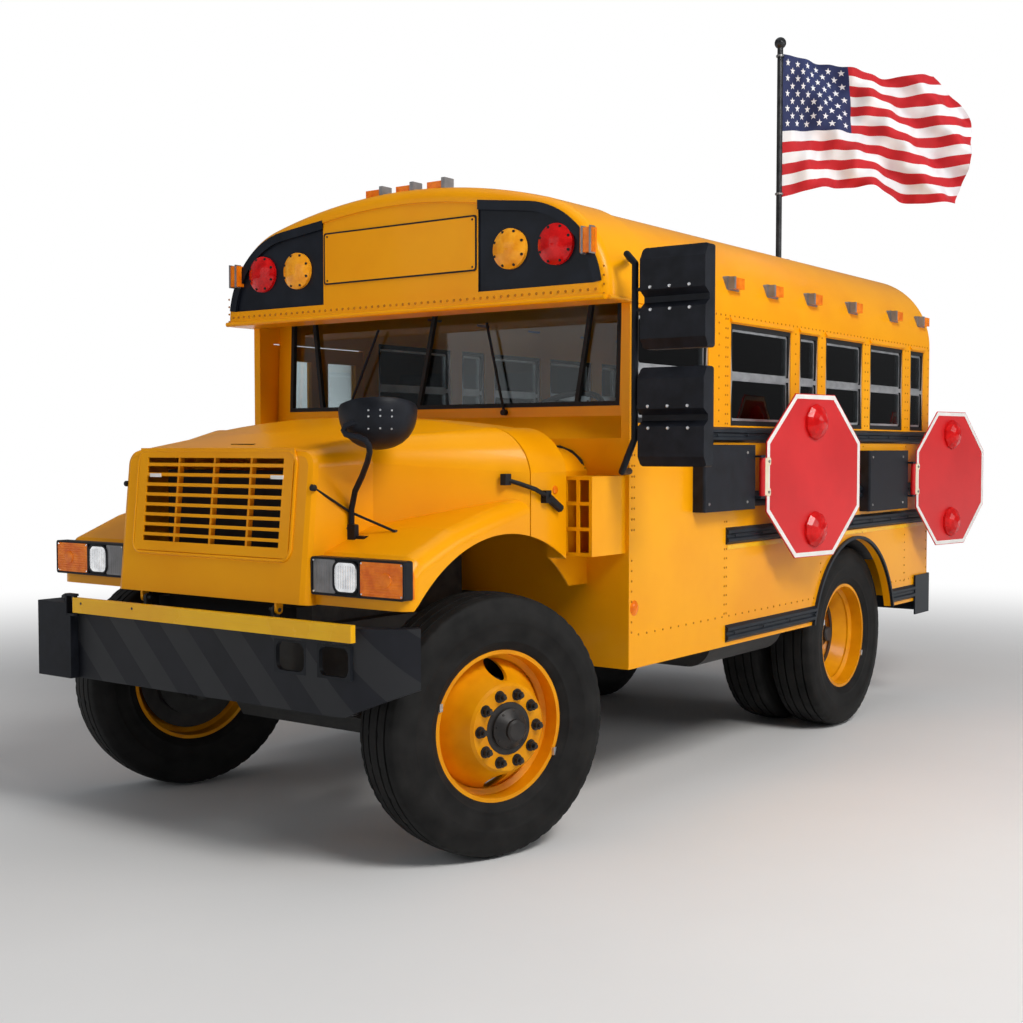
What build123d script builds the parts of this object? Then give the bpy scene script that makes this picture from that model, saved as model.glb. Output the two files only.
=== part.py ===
from build123d import *
import math
import os

# School bus with a tilting hood, a hollow body, steered front wheels and twin rear wheels.
# Millimetres. X is the bus's left, the front faces -Y, Z is up, and z = 0 is the ground.
# While it is built, y = 0 is the front axle; export moves the origin to the middle of its box.

# Overall driving dimensions
wheelbase = 3426
body_half_width = 1220
body_front_y = 745
rear_overhang = 1174
body_rear_y = wheelbase + rear_overhang
body_len = body_rear_y - body_front_y
skirt_z = 690
floor_z = 1000
spring_z = 2380
roof_crest_z = 2960
roof_corner_r = 480
wall = 45
floor_t = 40
skin = 8
clearance = 6
cut_over = 20
fit_gap = 0.05

# Wheels: 24.5 inch rims on ten studs
tyre_r = 552
tyre_w = 279
bead_r = 311
rim_flange_r = 324
rim_w = 210
wheel_inset = 65
wheel_outer_x = body_half_width - wheel_inset
twin_pitch = 330
stud_count = 10
stud_pcd = 285.75
stud_r = 11
nut_r = 19
nut_h = 24
hub_bore_r = 110
hub_r = 84
drum_r = 195
drum_w = 150
steer_rest = 17
kingpin_inset = 340
kingpin_x = wheel_outer_x - kingpin_inset
kingpin_r = 22
axle_z = tyre_r

# Frame rails
rail_outer_x = 432
rail_h = 250
rail_flange = 80
rail_t = 8
rail_top_z = 955
rail_inset = 120
rail_rear_y = body_rear_y - rail_inset
spring_w = 76

# Front bumper
bumper_face_y = -760
bumper_flat_x = 767
bumper_bend_r = 448
bumper_bend_deg = 50
bumper_z0 = 660
bumper_z1 = 1010
bumper_depth = 60
bumper_t = 10

# Hood and cowl
hood_front_y = -700
hood_seam_y = 171
seam_gap = 8
hood_bottom_z = 1075
nose_half_w = 585
nose_top_z = 1705
nose_corner_r = 70
nose_edge_r = 30
nose_rake_deg = 6
seam_inset = 140
seam_half_w = body_half_width - seam_inset
seam_shoulder_z = 1600
seam_top_z = 1850
seam_shoulder_w = 260
seam_corner_x = seam_half_w - seam_shoulder_w
seam_corner_z = 1795
fender_front_y = -640
fender_nose_z = 1285
fender_crown_z = 1440
fender_edge_r = 70
arch_r = 794
cowl_rear_y = 440
neck_inset = 90
hood_pin_y = -680
hood_pin_z = 1045
hood_pin_x = 400
grille_half_w = 452
grille_z0 = 1285
grille_z1 = 1680

# Windshield
ledge_z = 1750
screen_z0 = 1905
screen_z1 = 2430
screen_margin = 139
screen_half_w = body_half_width - screen_margin
screen_foot_y = 880
screen_head_y = 905

# Cap over the windshield
cap_front_y = 545
cap_rear_y = 960
cap_proud = 12
cap_z0 = 2365
cap_skin = 14
cap_edge_r = 60
recess_rim = 63
recess_z0 = 2440
lamp_recess = 16
board_recess = 7
board_half_w = 502

# Side windows
window_z0 = 1820
window_z1 = 2340
window_t = 5
sash_w = 24
sash_t = 30

# Service door and emergency door
door_y0 = 850
door_y1 = 1600
door_z0 = 420
door_z1 = 2290
leaf_t = 38
exit_half_w = 460
exit_z0 = 1060
exit_z1 = 2420

# Stop arms
sign_across = 880
sign_t = 6
sign_reach = 85
sign_x = body_half_width + sign_reach
sign_rest_deg = 10

# Hinge pieces shared by doors and stop arms
hinge_pin_r = 5
knuckle_r = 10
hinge_standoff = 1
strap_len = 60
strap_t = 5
strap_bite = 4
hinge_shares = (0.3, 0.7)

parts = {}


def outline(points):
    return make_face(Polyline(*points, close=True).edges())


def block(x0, x1, y0, y1, z0, z1):
    """A box between two corners."""
    size = Box(abs(x1 - x0), abs(y1 - y0), abs(z1 - z0))
    return Pos((x0 + x1) / 2, (y0 + y1) / 2, (z0 + z1) / 2) * size


def rod_x(r, x0, x1, y, z):
    return Pos((x0 + x1) / 2, y, z) * Rot(0, 90, 0) * Cylinder(r, abs(x1 - x0))


def rod_y(r, x, y0, y1, z):
    return Pos(x, (y0 + y1) / 2, z) * Rot(90, 0, 0) * Cylinder(r, abs(y1 - y0))


def rod_z(r, x, y, z0, z1):
    return Pos(x, y, (z0 + z1) / 2) * Cylinder(r, abs(z1 - z0))


def along_x(points, x0, x1):
    """Extrude a closed outline of (y, z) points along X."""
    return Pos(x0, 0, 0) * extrude(Plane.YZ * outline(points), x1 - x0)


def along_y(points, y0, y1):
    """Extrude a closed outline of (x, z) points along Y."""
    return Pos(0, y1, 0) * extrude(Plane.XZ * outline(points), y1 - y0)


def along_z(points, z0, z1):
    """Extrude a closed outline of (x, y) points along Z."""
    return Pos(0, 0, z0) * extrude(outline(points), z1 - z0)


def revolve_x(points):
    """Turn a closed outline of (x, r) points about the X axis."""
    return revolve(outline(points), axis=Axis.X)


def bent_rod(points, r):
    """Round bar through some points, with a ball at each bend."""
    shape = None
    for a, b in zip(points, points[1:]):
        run = Vector(*b) - Vector(*a)
        place = Plane(origin=a, z_dir=run)
        bar = place * Cylinder(r, run.length, align=(Align.CENTER, Align.CENTER, Align.MIN))
        shape = bar if shape is None else shape + Pos(*a) * Sphere(r) + bar
    return shape


def mirrored(shape):
    return mirror(shape, about=Plane.YZ)


def both(shape):
    """A shape and its mirror image on the other side of the bus."""
    return [shape, mirrored(shape)]


def fuse(shapes):
    out = shapes[0]
    for shape in shapes[1:]:
        out = out + shape
    return out


def solids(shapes):
    """All solids of some shapes, kept apart in one node."""
    found = []
    for shape in shapes:
        found.extend(shape.solids())
    return Compound(found)


def vertical_hinge(x, y, turn, z0, z1, gap):
    """Both halves of a hinge on a vertical pin, the wall on its -u side and the leaf on its +u side.

    u runs along the wall's outer face, v points outward, and turn is the angle of u from +X."""
    face_v = -(knuckle_r + hinge_standoff)
    lift = face_v + hinge_standoff
    low = z0 + (z1 - z0) * hinge_shares[0]
    high = z0 + (z1 - z0) * hinge_shares[1]
    fixed = rod_z(hinge_pin_r, 0, 0, z0, z1)
    for a, b in ((z0, low), (high, z1)):
        fixed += rod_z(knuckle_r, 0, 0, a, b)
        fixed += block(-strap_len, 0, lift, lift + strap_t, a, b)
        fixed += block(-strap_len, -gap, face_v - strap_bite, lift + strap_t, a, b)
    a = low + hinge_standoff
    b = high - hinge_standoff
    moving = rod_z(knuckle_r, 0, 0, a, b) + block(0, strap_len, lift, lift + strap_t, a, b)
    moving += block(gap + clearance, strap_len, face_v - strap_bite, lift + strap_t, a, b)
    moving -= rod_z(hinge_pin_r + fit_gap, 0, 0, z0, z1)
    place = Pos(x, y, 0) * Rot(0, 0, turn)
    return place * fixed, place * moving


# Tyres and wheels

tyre_shares = (
    # x as a share of half the width, r as a share of the way from bead to tread
    (-0.62, 0.00),
    (-0.96, 0.30),
    (-1.00, 0.52),
    (-0.95, 0.80),
    (-0.84, 0.94),
    (-0.60, 0.985),
    (0.00, 1.00),
)
barrel_shares = (
    # x as a share of half the rim's width, r as a share of the flange radius
    (-1.00, 1.00), (-0.93, 1.00), (-0.93, 0.96), (-0.35, 0.95), (-0.20, 0.88),
    (0.20, 0.88), (0.35, 0.95), (0.93, 0.96), (0.93, 1.00), (1.00, 1.00),
    (1.00, 0.93), (0.35, 0.92), (0.22, 0.85), (-0.22, 0.85), (-0.35, 0.92), (-1.00, 0.93),
)
disc_shares = (
    # x as a share of the disc's rise, r as a share of the flange radius, along its outer face
    (0.00, 0.865), (0.20, 0.80), (0.62, 0.665), (0.93, 0.575), (1.00, 0.54),
)
wheel_rise = 165
disc_t = 12
hand_hole_r = 40
hand_hole_share = 0.72
hub_flange_r = 165
hub_flange_t = 20
hub_nose = 78
hub_cap_r = 46
hub_cap_t = 22
hub_shoulder = 30
hub_nose_t = 56
hub_edge = 15
hub_waist_r = 150
drum_back = 93
drum_t = 15
hub_tail = 238
spindle_r = 38
rear_spindle_r = 50
rear_nose = 190
wheel_x = wheel_outer_x - tyre_w / 2


def tyre():
    half = tyre_w / 2
    tall = tyre_r - bead_r
    left = [(sx * half, bead_r + sr * tall) for sx, sr in tyre_shares]
    right = [(-x, r) for x, r in reversed(left[:-1])]
    edges = [
        Line(left[0], left[1]),
        ThreePointArc(left[1], left[2], left[3]),
        Line(left[3], left[4]),
        Line(left[4], left[5]),
        ThreePointArc(left[5], left[6], right[0]),
        Line(right[0], right[1]),
        Line(right[1], right[2]),
        ThreePointArc(right[2], right[3], right[4]),
        Line(right[4], right[5]),
        Line(right[5], left[0]),
    ]
    return revolve(make_face(edges), axis=Axis.X)


def stud_places():
    for turn in range(stud_count):
        a = 2 * math.pi * turn / stud_count
        yield stud_pcd / 2 * math.cos(a), stud_pcd / 2 * math.sin(a)


def rim():
    """Barrel and disc of one wheel, with its bolt face at wheel_rise from its middle."""
    half = rim_w / 2
    barrel = revolve_x([(sx * half, sr * rim_flange_r) for sx, sr in barrel_shares])
    face = [(sx * wheel_rise, sr * rim_flange_r) for sx, sr in disc_shares]
    back = [(x - disc_t, r - disc_t / 2) for x, r in face]
    points = face + [(wheel_rise, hub_bore_r), (wheel_rise - disc_t, hub_bore_r)] + back[::-1]
    disc = revolve_x(points)
    for side in (-1, 1):
        disc -= rod_x(hand_hole_r, -wheel_rise, wheel_rise, 0, side * hand_hole_share * rim_flange_r)
    for y, z in stud_places():
        disc -= rod_x(stud_r + fit_gap, 0, wheel_rise + disc_t, y, z)
    return barrel + disc


def hub(bore_r, nose, disc_count):
    """Hub, drum, studs and nuts; x = 0 is the face that the first disc seats on."""
    shell = -drum_back - drum_w
    shape = revolve_x([
        (nose, 0), (nose, hub_cap_r - hub_edge / 2), (nose - hub_edge / 2, hub_cap_r),
        (nose - hub_cap_t, hub_cap_r), (nose - hub_cap_t - hub_shoulder, hub_r), (0, hub_r),
        (0, hub_flange_r), (-hub_flange_t, hub_flange_r), (-drum_back / 2, hub_waist_r),
        (-drum_back, drum_r), (shell, drum_r), (shell, drum_r - drum_t),
        (-drum_back - drum_t, drum_r - drum_t), (-drum_back, hub_r), (-drum_back - drum_t, hub_r - hub_edge),
        (-hub_tail, hub_r - hub_edge), (-hub_tail, bore_r), (nose - hub_nose_t, bore_r), (nose - hub_nose_t, 0),
    ])
    seat = disc_count * disc_t
    for y, z in stud_places():
        nut = Pos(seat, y, z) * Rot(0, 90, 0) * extrude(RegularPolygon(nut_r, side_count=6), nut_h)
        shape += nut + rod_x(stud_r, -hub_flange_t / 2, seat, y, z)
    return shape


def steered(shape, side):
    """Turn a straight piece about its kingpin to the angle at which the bus is parked."""
    x = side * kingpin_x
    return Pos(x, 0, 0) * Rot(0, 0, -steer_rest) * Pos(-x, 0, 0) * shape


front_face_x = wheel_x + wheel_rise - disc_t
front_wheel = {
    "tyre": Pos(wheel_x, 0, axle_z) * tyre(),
    "wheel": solids([Pos(wheel_x, 0, axle_z) * rim(),
                     Pos(front_face_x, 0, axle_z) * hub(spindle_r + fit_gap, hub_nose, 1)]),
}
for name, shape in front_wheel.items():
    parts["front_left_" + name] = steered(shape, 1)
    parts["front_right_" + name] = steered(mirrored(shape), -1)

inner_x = wheel_x - twin_pitch
rear_face_x = inner_x + wheel_rise - disc_t
rear_wheel = {
    "tyres": solids([Pos(inner_x, 0, 0) * tyre(), Pos(wheel_x, 0, 0) * tyre()]),
    "wheels": solids([Pos(inner_x, 0, 0) * rim(), Pos(wheel_x, 0, 0) * mirrored(rim()),
                      Pos(rear_face_x, 0, 0) * hub(rear_spindle_r + fit_gap, rear_nose, 2)]),
}
for name, shape in rear_wheel.items():
    placed = Pos(0, wheelbase, axle_z) * shape
    parts["rear_left_" + name] = placed
    parts["rear_right_" + name] = mirrored(placed)

# Front axle beam with its kingpins, and the knuckles that turn on them

beam_half_y = 45
beam_eye_r = 42
beam_eye_h = 60
beam_h = 90
beam_drop = 90
beam_bend_x = 560
beam_flat_x = 480
lug_gap = 3
lug_h = 37
web_reach = 50
web_t = 40
web_half_y = 55
backing_t = 6
backing_gap = 8

beam_z1 = axle_z + beam_h / 2
beam_z0 = axle_z - beam_h / 2
beam = along_y(
    [
        (-kingpin_x, beam_z0), (-beam_bend_x, beam_z0), (-beam_flat_x, beam_z0 - beam_drop),
        (beam_flat_x, beam_z0 - beam_drop), (beam_bend_x, beam_z0), (kingpin_x, beam_z0),
        (kingpin_x, beam_z1), (beam_bend_x, beam_z1), (beam_flat_x, beam_z1 - beam_drop),
        (-beam_flat_x, beam_z1 - beam_drop), (-beam_bend_x, beam_z1), (-kingpin_x, beam_z1),
    ],
    -beam_half_y, beam_half_y,
)
pin_half = beam_eye_h + lug_gap + lug_h
for side in (-1, 1):
    x = side * kingpin_x
    beam -= block(x - side * beam_eye_r / 2, x + side * beam_eye_r, -beam_half_y, beam_half_y, beam_z0, beam_z1)
    beam += rod_z(beam_eye_r, x, 0, axle_z - beam_eye_h, axle_z + beam_eye_h)
    beam += rod_z(kingpin_r, x, 0, axle_z - pin_half, axle_z + pin_half)
parts["front_axle"] = beam

web_x = kingpin_x + web_reach
knuckle = block(web_x, web_x + web_t, -web_half_y, web_half_y, axle_z - pin_half, axle_z + pin_half)
lug_spans = (
    (axle_z - pin_half, axle_z - beam_eye_h - lug_gap),
    (axle_z + beam_eye_h + lug_gap, axle_z + pin_half),
)
for z0, z1 in lug_spans:
    knuckle += rod_z(beam_eye_r, kingpin_x, 0, z0, z1)
    knuckle += block(kingpin_x, web_x + web_t, -beam_eye_r, beam_eye_r, z0, z1)
knuckle -= rod_z(kingpin_r + fit_gap, kingpin_x, 0, axle_z - 2 * pin_half, axle_z + 2 * pin_half)
spindle_end_x = front_face_x + hub_nose - hub_nose_t - clearance
knuckle += rod_x(spindle_r, web_x, spindle_end_x, 0, axle_z)
backing_x = front_face_x - drum_back - drum_w - backing_gap
knuckle += rod_x(drum_r, backing_x - backing_t, backing_x, 0, axle_z)
parts["left_knuckle"] = steered(knuckle, 1)
parts["right_knuckle"] = steered(mirrored(knuckle), -1)

# Rear axle housing, leaf springs, frame, engine and drive shaft

tube_r = 62
banjo_r = 190
banjo_w = 240
cover_r = 120
cover_reach = 210
tube_end_x = rear_face_x - drum_back - drum_w - backing_gap
rear_end_x = rear_face_x + rear_nose - hub_nose_t - clearance
rear_axle = rod_x(tube_r, -tube_end_x, tube_end_x, wheelbase, axle_z)
rear_axle += rod_x(banjo_r, -banjo_w / 2, banjo_w / 2, wheelbase, axle_z)
rear_axle += rod_y(cover_r, 0, wheelbase - cover_reach, wheelbase, axle_z)
rear_axle += rod_x(rear_spindle_r, -rear_end_x, rear_end_x, wheelbase, axle_z)
for side in (-1, 1):
    rear_axle += rod_x(drum_r, side * (tube_end_x - backing_t), side * tube_end_x, wheelbase, axle_z)
parts["rear_axle"] = rear_axle

spring_half = 620
spring_t = 48
spring_eye_r = 24
spring_end_t = 14
hanger_t = 14
rail_z0 = rail_top_z - rail_h
spring_x = rail_outer_x - spring_w / 2


def leaf_spring(y, seat_z):
    """A leaf pack that rests on its axle, rolled into eyes that hang from the frame rail."""
    eye_z = rail_z0 - spring_eye_r - clearance
    top_z = eye_z + spring_eye_r
    pack = along_x(
        [
            (y - spring_half, top_z - spring_end_t), (y - spring_half / 3, seat_z + spring_t / 3),
            (y - spring_half / 4, seat_z), (y + spring_half / 4, seat_z),
            (y + spring_half / 3, seat_z + spring_t / 3), (y + spring_half, top_z - spring_end_t),
            (y + spring_half, top_z), (y, seat_z + spring_t), (y - spring_half, top_z),
        ],
        spring_x - spring_w / 2, spring_x + spring_w / 2,
    )
    for end in (-1, 1):
        eye_y = y + end * spring_half
        pack += rod_x(spring_eye_r, spring_x - spring_w / 2, spring_x + spring_w / 2, eye_y, eye_z)
        for face in (spring_x - spring_w / 2 - hanger_t, spring_x + spring_w / 2):
            pack += block(face, face + hanger_t, eye_y - spring_eye_r, eye_y + spring_eye_r,
                          eye_z - spring_eye_r, rail_z0)
    return pack


springs = both(leaf_spring(0, beam_z1 - beam_drop)) + both(leaf_spring(wheelbase, axle_z + tube_r))
parts["leaf_springs"] = solids(springs)

rail_front_y = bumper_face_y + bumper_t
rail_len = rail_rear_y - rail_front_y
cross_y_shares = (0.02, 0.42, 0.56, 0.70, 0.99)
cross_t = 60
cross_h = 80
lug_t = 14
lug_r = 18
rail = block(rail_outer_x - rail_flange, rail_outer_x, rail_front_y, rail_rear_y, rail_z0, rail_top_z)
rail -= block(rail_outer_x - rail_flange - cut_over, rail_outer_x - rail_t, rail_front_y - cut_over,
              rail_rear_y + cut_over, rail_z0 + rail_t, rail_top_z - rail_t)
frame = fuse(both(rail))
for share in cross_y_shares:
    y = rail_front_y + share * rail_len
    frame += block(-rail_outer_x + rail_t, rail_outer_x - rail_t, y - cross_t / 2, y + cross_t / 2,
                   rail_top_z - rail_t - cross_h, rail_top_z - rail_t)
for side in (-1, 1):
    x = side * hood_pin_x
    frame += block(x - lug_t / 2, x + lug_t / 2, hood_pin_y - lug_r, hood_pin_y + lug_r,
                   rail_top_z - rail_t, hood_pin_z)
    frame += rod_x(lug_r, x - lug_t / 2, x + lug_t / 2, hood_pin_y, hood_pin_z)
    frame += rod_x(lug_r / 2, x - 2 * lug_t, x + 2 * lug_t, hood_pin_y, hood_pin_z)
parts["frame"] = frame

engine_half_w = 330
engine_y0 = -400
engine_y1 = 640
engine_z0 = rail_z0
engine_z1 = 1560
parts["engine"] = block(-engine_half_w, engine_half_w, engine_y0, engine_y1, engine_z0, engine_z1)
gearbox_r = 170
gearbox_tail_r = 90
gearbox_y1 = 1380
gearbox_z = 790
gearbox = Pos(0, engine_y1, gearbox_z) * Rot(-90, 0, 0) * Cone(
    gearbox_r, gearbox_tail_r, gearbox_y1 - engine_y1, align=(Align.CENTER, Align.CENTER, Align.MIN))
radiator_half_w = 360
radiator_y0 = -590
radiator_t = 90
radiator_z1 = 1610
radiator = block(-radiator_half_w, radiator_half_w, radiator_y0, radiator_y0 + radiator_t,
                 rail_top_z, radiator_z1)
for side in (-1, 1):
    radiator += block(side * radiator_half_w, side * rail_outer_x, radiator_y0, radiator_y0 + radiator_t,
                      rail_top_z, rail_top_z + radiator_t)
parts["radiator"] = radiator
shaft_r = 45
shaft_rear_z = 600
shaft_run = wheelbase - cover_reach - gearbox_y1
shaft_fall = math.degrees(math.atan2(gearbox_z - shaft_rear_z, shaft_run))
shaft_len = math.hypot(shaft_run, gearbox_z - shaft_rear_z)
shaft = Pos(0, gearbox_y1, gearbox_z) * Rot(-90 - shaft_fall, 0, 0) * Cylinder(
    shaft_r, shaft_len, align=(Align.CENTER, Align.CENTER, Align.MIN))
shaft -= gearbox
shaft -= rear_axle
parts["drive_line"] = solids([gearbox, shaft])

# Front bumper: a bent channel with two tow slots, the arm's motor box and the crossing arm

slot_places = (
    # x from, x to
    (481, 647),
    (719, 885),
)
slot_z0 = 812
slot_z1 = 938
end_cut_x = 850
end_cut_z = 790
box_x0 = -1030
box_x1 = -790
box_y0 = -802
box_rear_y = -640
box_z1 = 1004
arm_y0 = -800
arm_t = 26
arm_z0 = 962
arm_z1 = 1030
arm_tip_x = 930
arm_pin_x = -770
arm_eye_r = 14
arm_pin_r = 8
arm_lug_t = 10


def bumper_band(inset, depth):
    """Plan of a strip that follows the bumper's bent face, from inset to inset + depth behind it."""
    bend = math.radians(bumper_bend_deg)
    centre_y = bumper_face_y + bumper_bend_r
    rails = []
    for back in (inset, inset + depth):
        r = bumper_bend_r - back
        mid = (bumper_flat_x + r * math.sin(bend / 2), centre_y - r * math.cos(bend / 2))
        end = (bumper_flat_x + r * math.sin(bend), centre_y - r * math.cos(bend))
        rails.append(((bumper_flat_x, centre_y - r), mid, end))
    (a, m, e), (b, n, f) = rails
    flip = [[(-x, y) for x, y in rail] for rail in rails]
    (fa, fm, fe), (fb, fn, ff) = flip
    edges = [
        Line(fa, a), ThreePointArc(a, m, e), Line(e, f), ThreePointArc(f, n, b),
        Line(b, fb), ThreePointArc(fb, fn, ff), Line(ff, fe), ThreePointArc(fe, fm, fa),
    ]
    return make_face(edges)


def bumper_prism(inset, depth, z0, z1):
    return Pos(0, 0, z0) * extrude(bumper_band(inset, depth), z1 - z0)


bumper = bumper_prism(0, bumper_depth, bumper_z0, bumper_z1)
bumper -= bumper_prism(bumper_t, bumper_depth, bumper_z0 + bumper_t, bumper_z1 - bumper_t)
end_x = seam_half_w + fender_edge_r
for side in (-1, 1):
    corner = [
        (side * end_cut_x, bumper_z0), (side * end_x, bumper_z0 - cut_over), (side * end_x, end_cut_z),
    ]
    bumper -= along_y(corner, bumper_face_y - cut_over, fender_front_y + 2 * bumper_depth)
for x0, x1 in slot_places:
    bumper -= block(x0, x1, bumper_face_y - cut_over, bumper_face_y + bumper_t + cut_over, slot_z0, slot_z1)
parts["front_bumper"] = bumper

arm_mid_y = arm_y0 + arm_t / 2
motor = block(box_x0, box_x1, box_y0, box_rear_y, bumper_z0, box_z1)
motor -= bumper_prism(0, bumper_bend_r / 2, bumper_z0 - cut_over, bumper_z1 + cut_over)
motor -= block(box_x1 - 2 * arm_eye_r, box_x1 + cut_over, box_y0 - cut_over, arm_mid_y + 2 * arm_eye_r,
               arm_z0 - clearance - arm_lug_t, box_z1 + cut_over)
for z in (arm_z0 - clearance - arm_lug_t, arm_z1 + clearance):
    motor += block(box_x1 - 2 * arm_eye_r, arm_pin_x, arm_mid_y - arm_eye_r, arm_mid_y + arm_eye_r,
                   z, z + arm_lug_t)
    motor += rod_z(arm_eye_r, arm_pin_x, arm_mid_y, z, z + arm_lug_t)
motor += block(box_x1 - 3 * arm_eye_r, box_x1 - 2 * arm_eye_r, arm_mid_y - arm_eye_r, arm_mid_y + arm_eye_r,
               arm_z0 - clearance - arm_lug_t, arm_z1 + clearance + arm_lug_t)
motor += rod_z(arm_pin_r, arm_pin_x, arm_mid_y, arm_z0 - clearance, arm_z1 + clearance)
arm = block(arm_pin_x, arm_tip_x, arm_y0, arm_y0 + arm_t, arm_z0, arm_z1)
arm += rod_z(arm_eye_r, arm_pin_x, arm_mid_y, arm_z0, arm_z1)
arm -= rod_z(arm_pin_r + fit_gap, arm_pin_x, arm_mid_y, arm_z0 - cut_over, arm_z1 + cut_over)
parts["crossing_arm"] = arm

# Hood: one moulded shell of nose and fenders that tilts forward, with its grille and lamps

hood_rear_y = hood_seam_y - seam_gap
fender_reach = 60
ear_t = 12
grille_frame = 28
grille_depth = 24
bar_count = 8
bar_h = 14
post_count = 3
post_w = 12
lamp_x0 = 590
lamp_split_x = 845
lamp_x1 = 1076
lamp_z0 = 1122
lamp_z1 = 1268
lamp_depth = 40
nose_crown = 12
waist_y = -330
waist_half_w = 625
waist_shoulder_z = 1640
waist_top_z = 1745
nose_edge_shares = (
    # distance behind the nose's face and inset from its outline, as shares of the edge radius
    (0.00, 1.00),
    (0.30, 0.30),
    (1.00, 0.00),
)
lamp_proud = 6
ear_z1 = 1150
fender_rise_y = -340
fender_top_y = -100
diagonal = math.radians(45)
grille_proud = 8


def section(half_w, shoulder_z, corner, crown_z, bottom_z):
    """Half-round topped section: straight sides, a corner arc and a crowned top; (x, z) points."""
    cx, cz = corner
    left = (-half_w, bottom_z)
    ls = (-half_w, shoulder_z)
    lc = (-cx, cz)
    bulge_x = cx + (half_w - cx) * math.sin(diagonal)
    bulge_z = shoulder_z + (cz - shoulder_z) * math.sin(diagonal)
    return Wire([
        Line(left, ls).edge(),
        ThreePointArc(ls, (-bulge_x, bulge_z), lc).edge(),
        ThreePointArc(lc, (0, crown_z), (cx, cz)).edge(),
        ThreePointArc((cx, cz), (bulge_x, bulge_z), (half_w, shoulder_z)).edge(),
        Line((half_w, shoulder_z), (half_w, bottom_z)).edge(),
        Line((half_w, bottom_z), left).edge(),
    ])


def nose_section(inset, over):
    half = nose_half_w - inset
    return section(half, nose_top_z - nose_corner_r, (half - nose_corner_r + inset, nose_top_z - inset),
                   nose_top_z + nose_crown - inset, hood_bottom_z - over)


def waist_section(inset, over):
    half = waist_half_w - inset
    return section(half, waist_shoulder_z, (half - 2 * nose_corner_r + inset, waist_top_z - inset),
                   waist_top_z + 2 * nose_crown - inset, hood_bottom_z - over)


def seam_section(inset, over):
    return section(seam_half_w - inset, seam_shoulder_z, (seam_corner_x - inset / 2, seam_corner_z - inset),
                   seam_top_z - inset, hood_bottom_z - over)


def raked(shape):
    """Lean a piece back with the nose, about the hood's lowest front edge."""
    return Pos(0, hood_front_y, hood_bottom_z) * Rot(-nose_rake_deg, 0, 0) * Pos(0, 0, -hood_bottom_z) * shape


def nose_form(inset, over):
    """Ruled loft from a rounded front edge to the hood's rear seam, run past its open sides by over."""
    faces = []
    for back, shrink in nose_edge_shares:
        face = Plane.XZ * make_face(nose_section(inset + shrink * nose_edge_r, over).edges())
        faces.append(raked(Pos(0, inset + back * nose_edge_r, 0) * face))
    faces.append(Pos(0, waist_y, 0) * (Plane.XZ * make_face(waist_section(inset, over).edges())))
    faces.append(Pos(0, hood_rear_y + over, 0) * (Plane.XZ * make_face(seam_section(inset, over).edges())))
    return loft(faces, ruled=True)


def fender_form(inset, over):
    """Left fender: its side outline carried out to the hood's full width, with rounded outer edges."""
    front = fender_front_y + inset
    points = [
        (front, hood_bottom_z - over), (front, fender_nose_z - inset - fender_reach),
        (front + fender_reach, fender_nose_z - inset),
        (fender_rise_y + inset, fender_crown_z - inset - fender_reach),
        (fender_top_y + inset, fender_crown_z - inset),
        (hood_rear_y + over, fender_crown_z + fender_reach - inset), (hood_rear_y + over, hood_bottom_z - over),
    ]
    form = along_x(points, 0, seam_half_w - inset)
    outer = form.faces().sort_by(Axis.X)[-1]
    edges = [e for e in outer.edges()
             if e.center().Z > hood_bottom_z + fender_reach and e.center().Y < hood_rear_y - fender_reach]
    return fillet(edges, fender_edge_r - inset)


def hood_form(inset, over):
    return fuse([nose_form(inset, over)] + both(fender_form(inset, over)))


wheel_arches = rod_x(arch_r, -2 * seam_half_w, 2 * seam_half_w, 0, axle_z)
grille_hole = raked(block(-grille_half_w, grille_half_w, -nose_edge_r, nose_edge_r, grille_z0, grille_z1))
hood = hood_form(0, 0) - hood_form(skin, cut_over) - wheel_arches - grille_hole
lamp_box = block(lamp_x0, lamp_x1 + 2 * fender_edge_r, fender_front_y - cut_over, fender_front_y + lamp_depth,
                 lamp_z0, lamp_z1)
lamp_form = fender_form(-lamp_proud, 0) & lamp_box
split = block(lamp_x0 - cut_over, lamp_split_x, fender_front_y - 2 * cut_over, 0, 0, 2 * lamp_z1)
headlight = lamp_form & split
signal = lamp_form - split
for lamp in both(lamp_form):
    hood -= lamp
ear_x = hood_pin_x + lug_t
for side in (-1, 1):
    ear = block(side * ear_x, side * (ear_x + ear_t), hood_pin_y - lug_r, hood_pin_y + lug_r,
                hood_pin_z, ear_z1)
    ear += rod_x(lug_r, side * ear_x, side * (ear_x + ear_t), hood_pin_y, hood_pin_z)
    ear -= rod_x(lug_r / 2 + fit_gap, side * (ear_x - ear_t), side * (ear_x + 2 * ear_t), hood_pin_y,
                 hood_pin_z)
    hood += ear & raked(block(-ear_x - 2 * ear_t, ear_x + 2 * ear_t, 0, 4 * lug_r, 0, 2 * hood_bottom_z))
parts["hood"] = hood
parts["headlights"] = solids(both(headlight))
parts["turn_signals"] = solids(both(signal))

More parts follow.
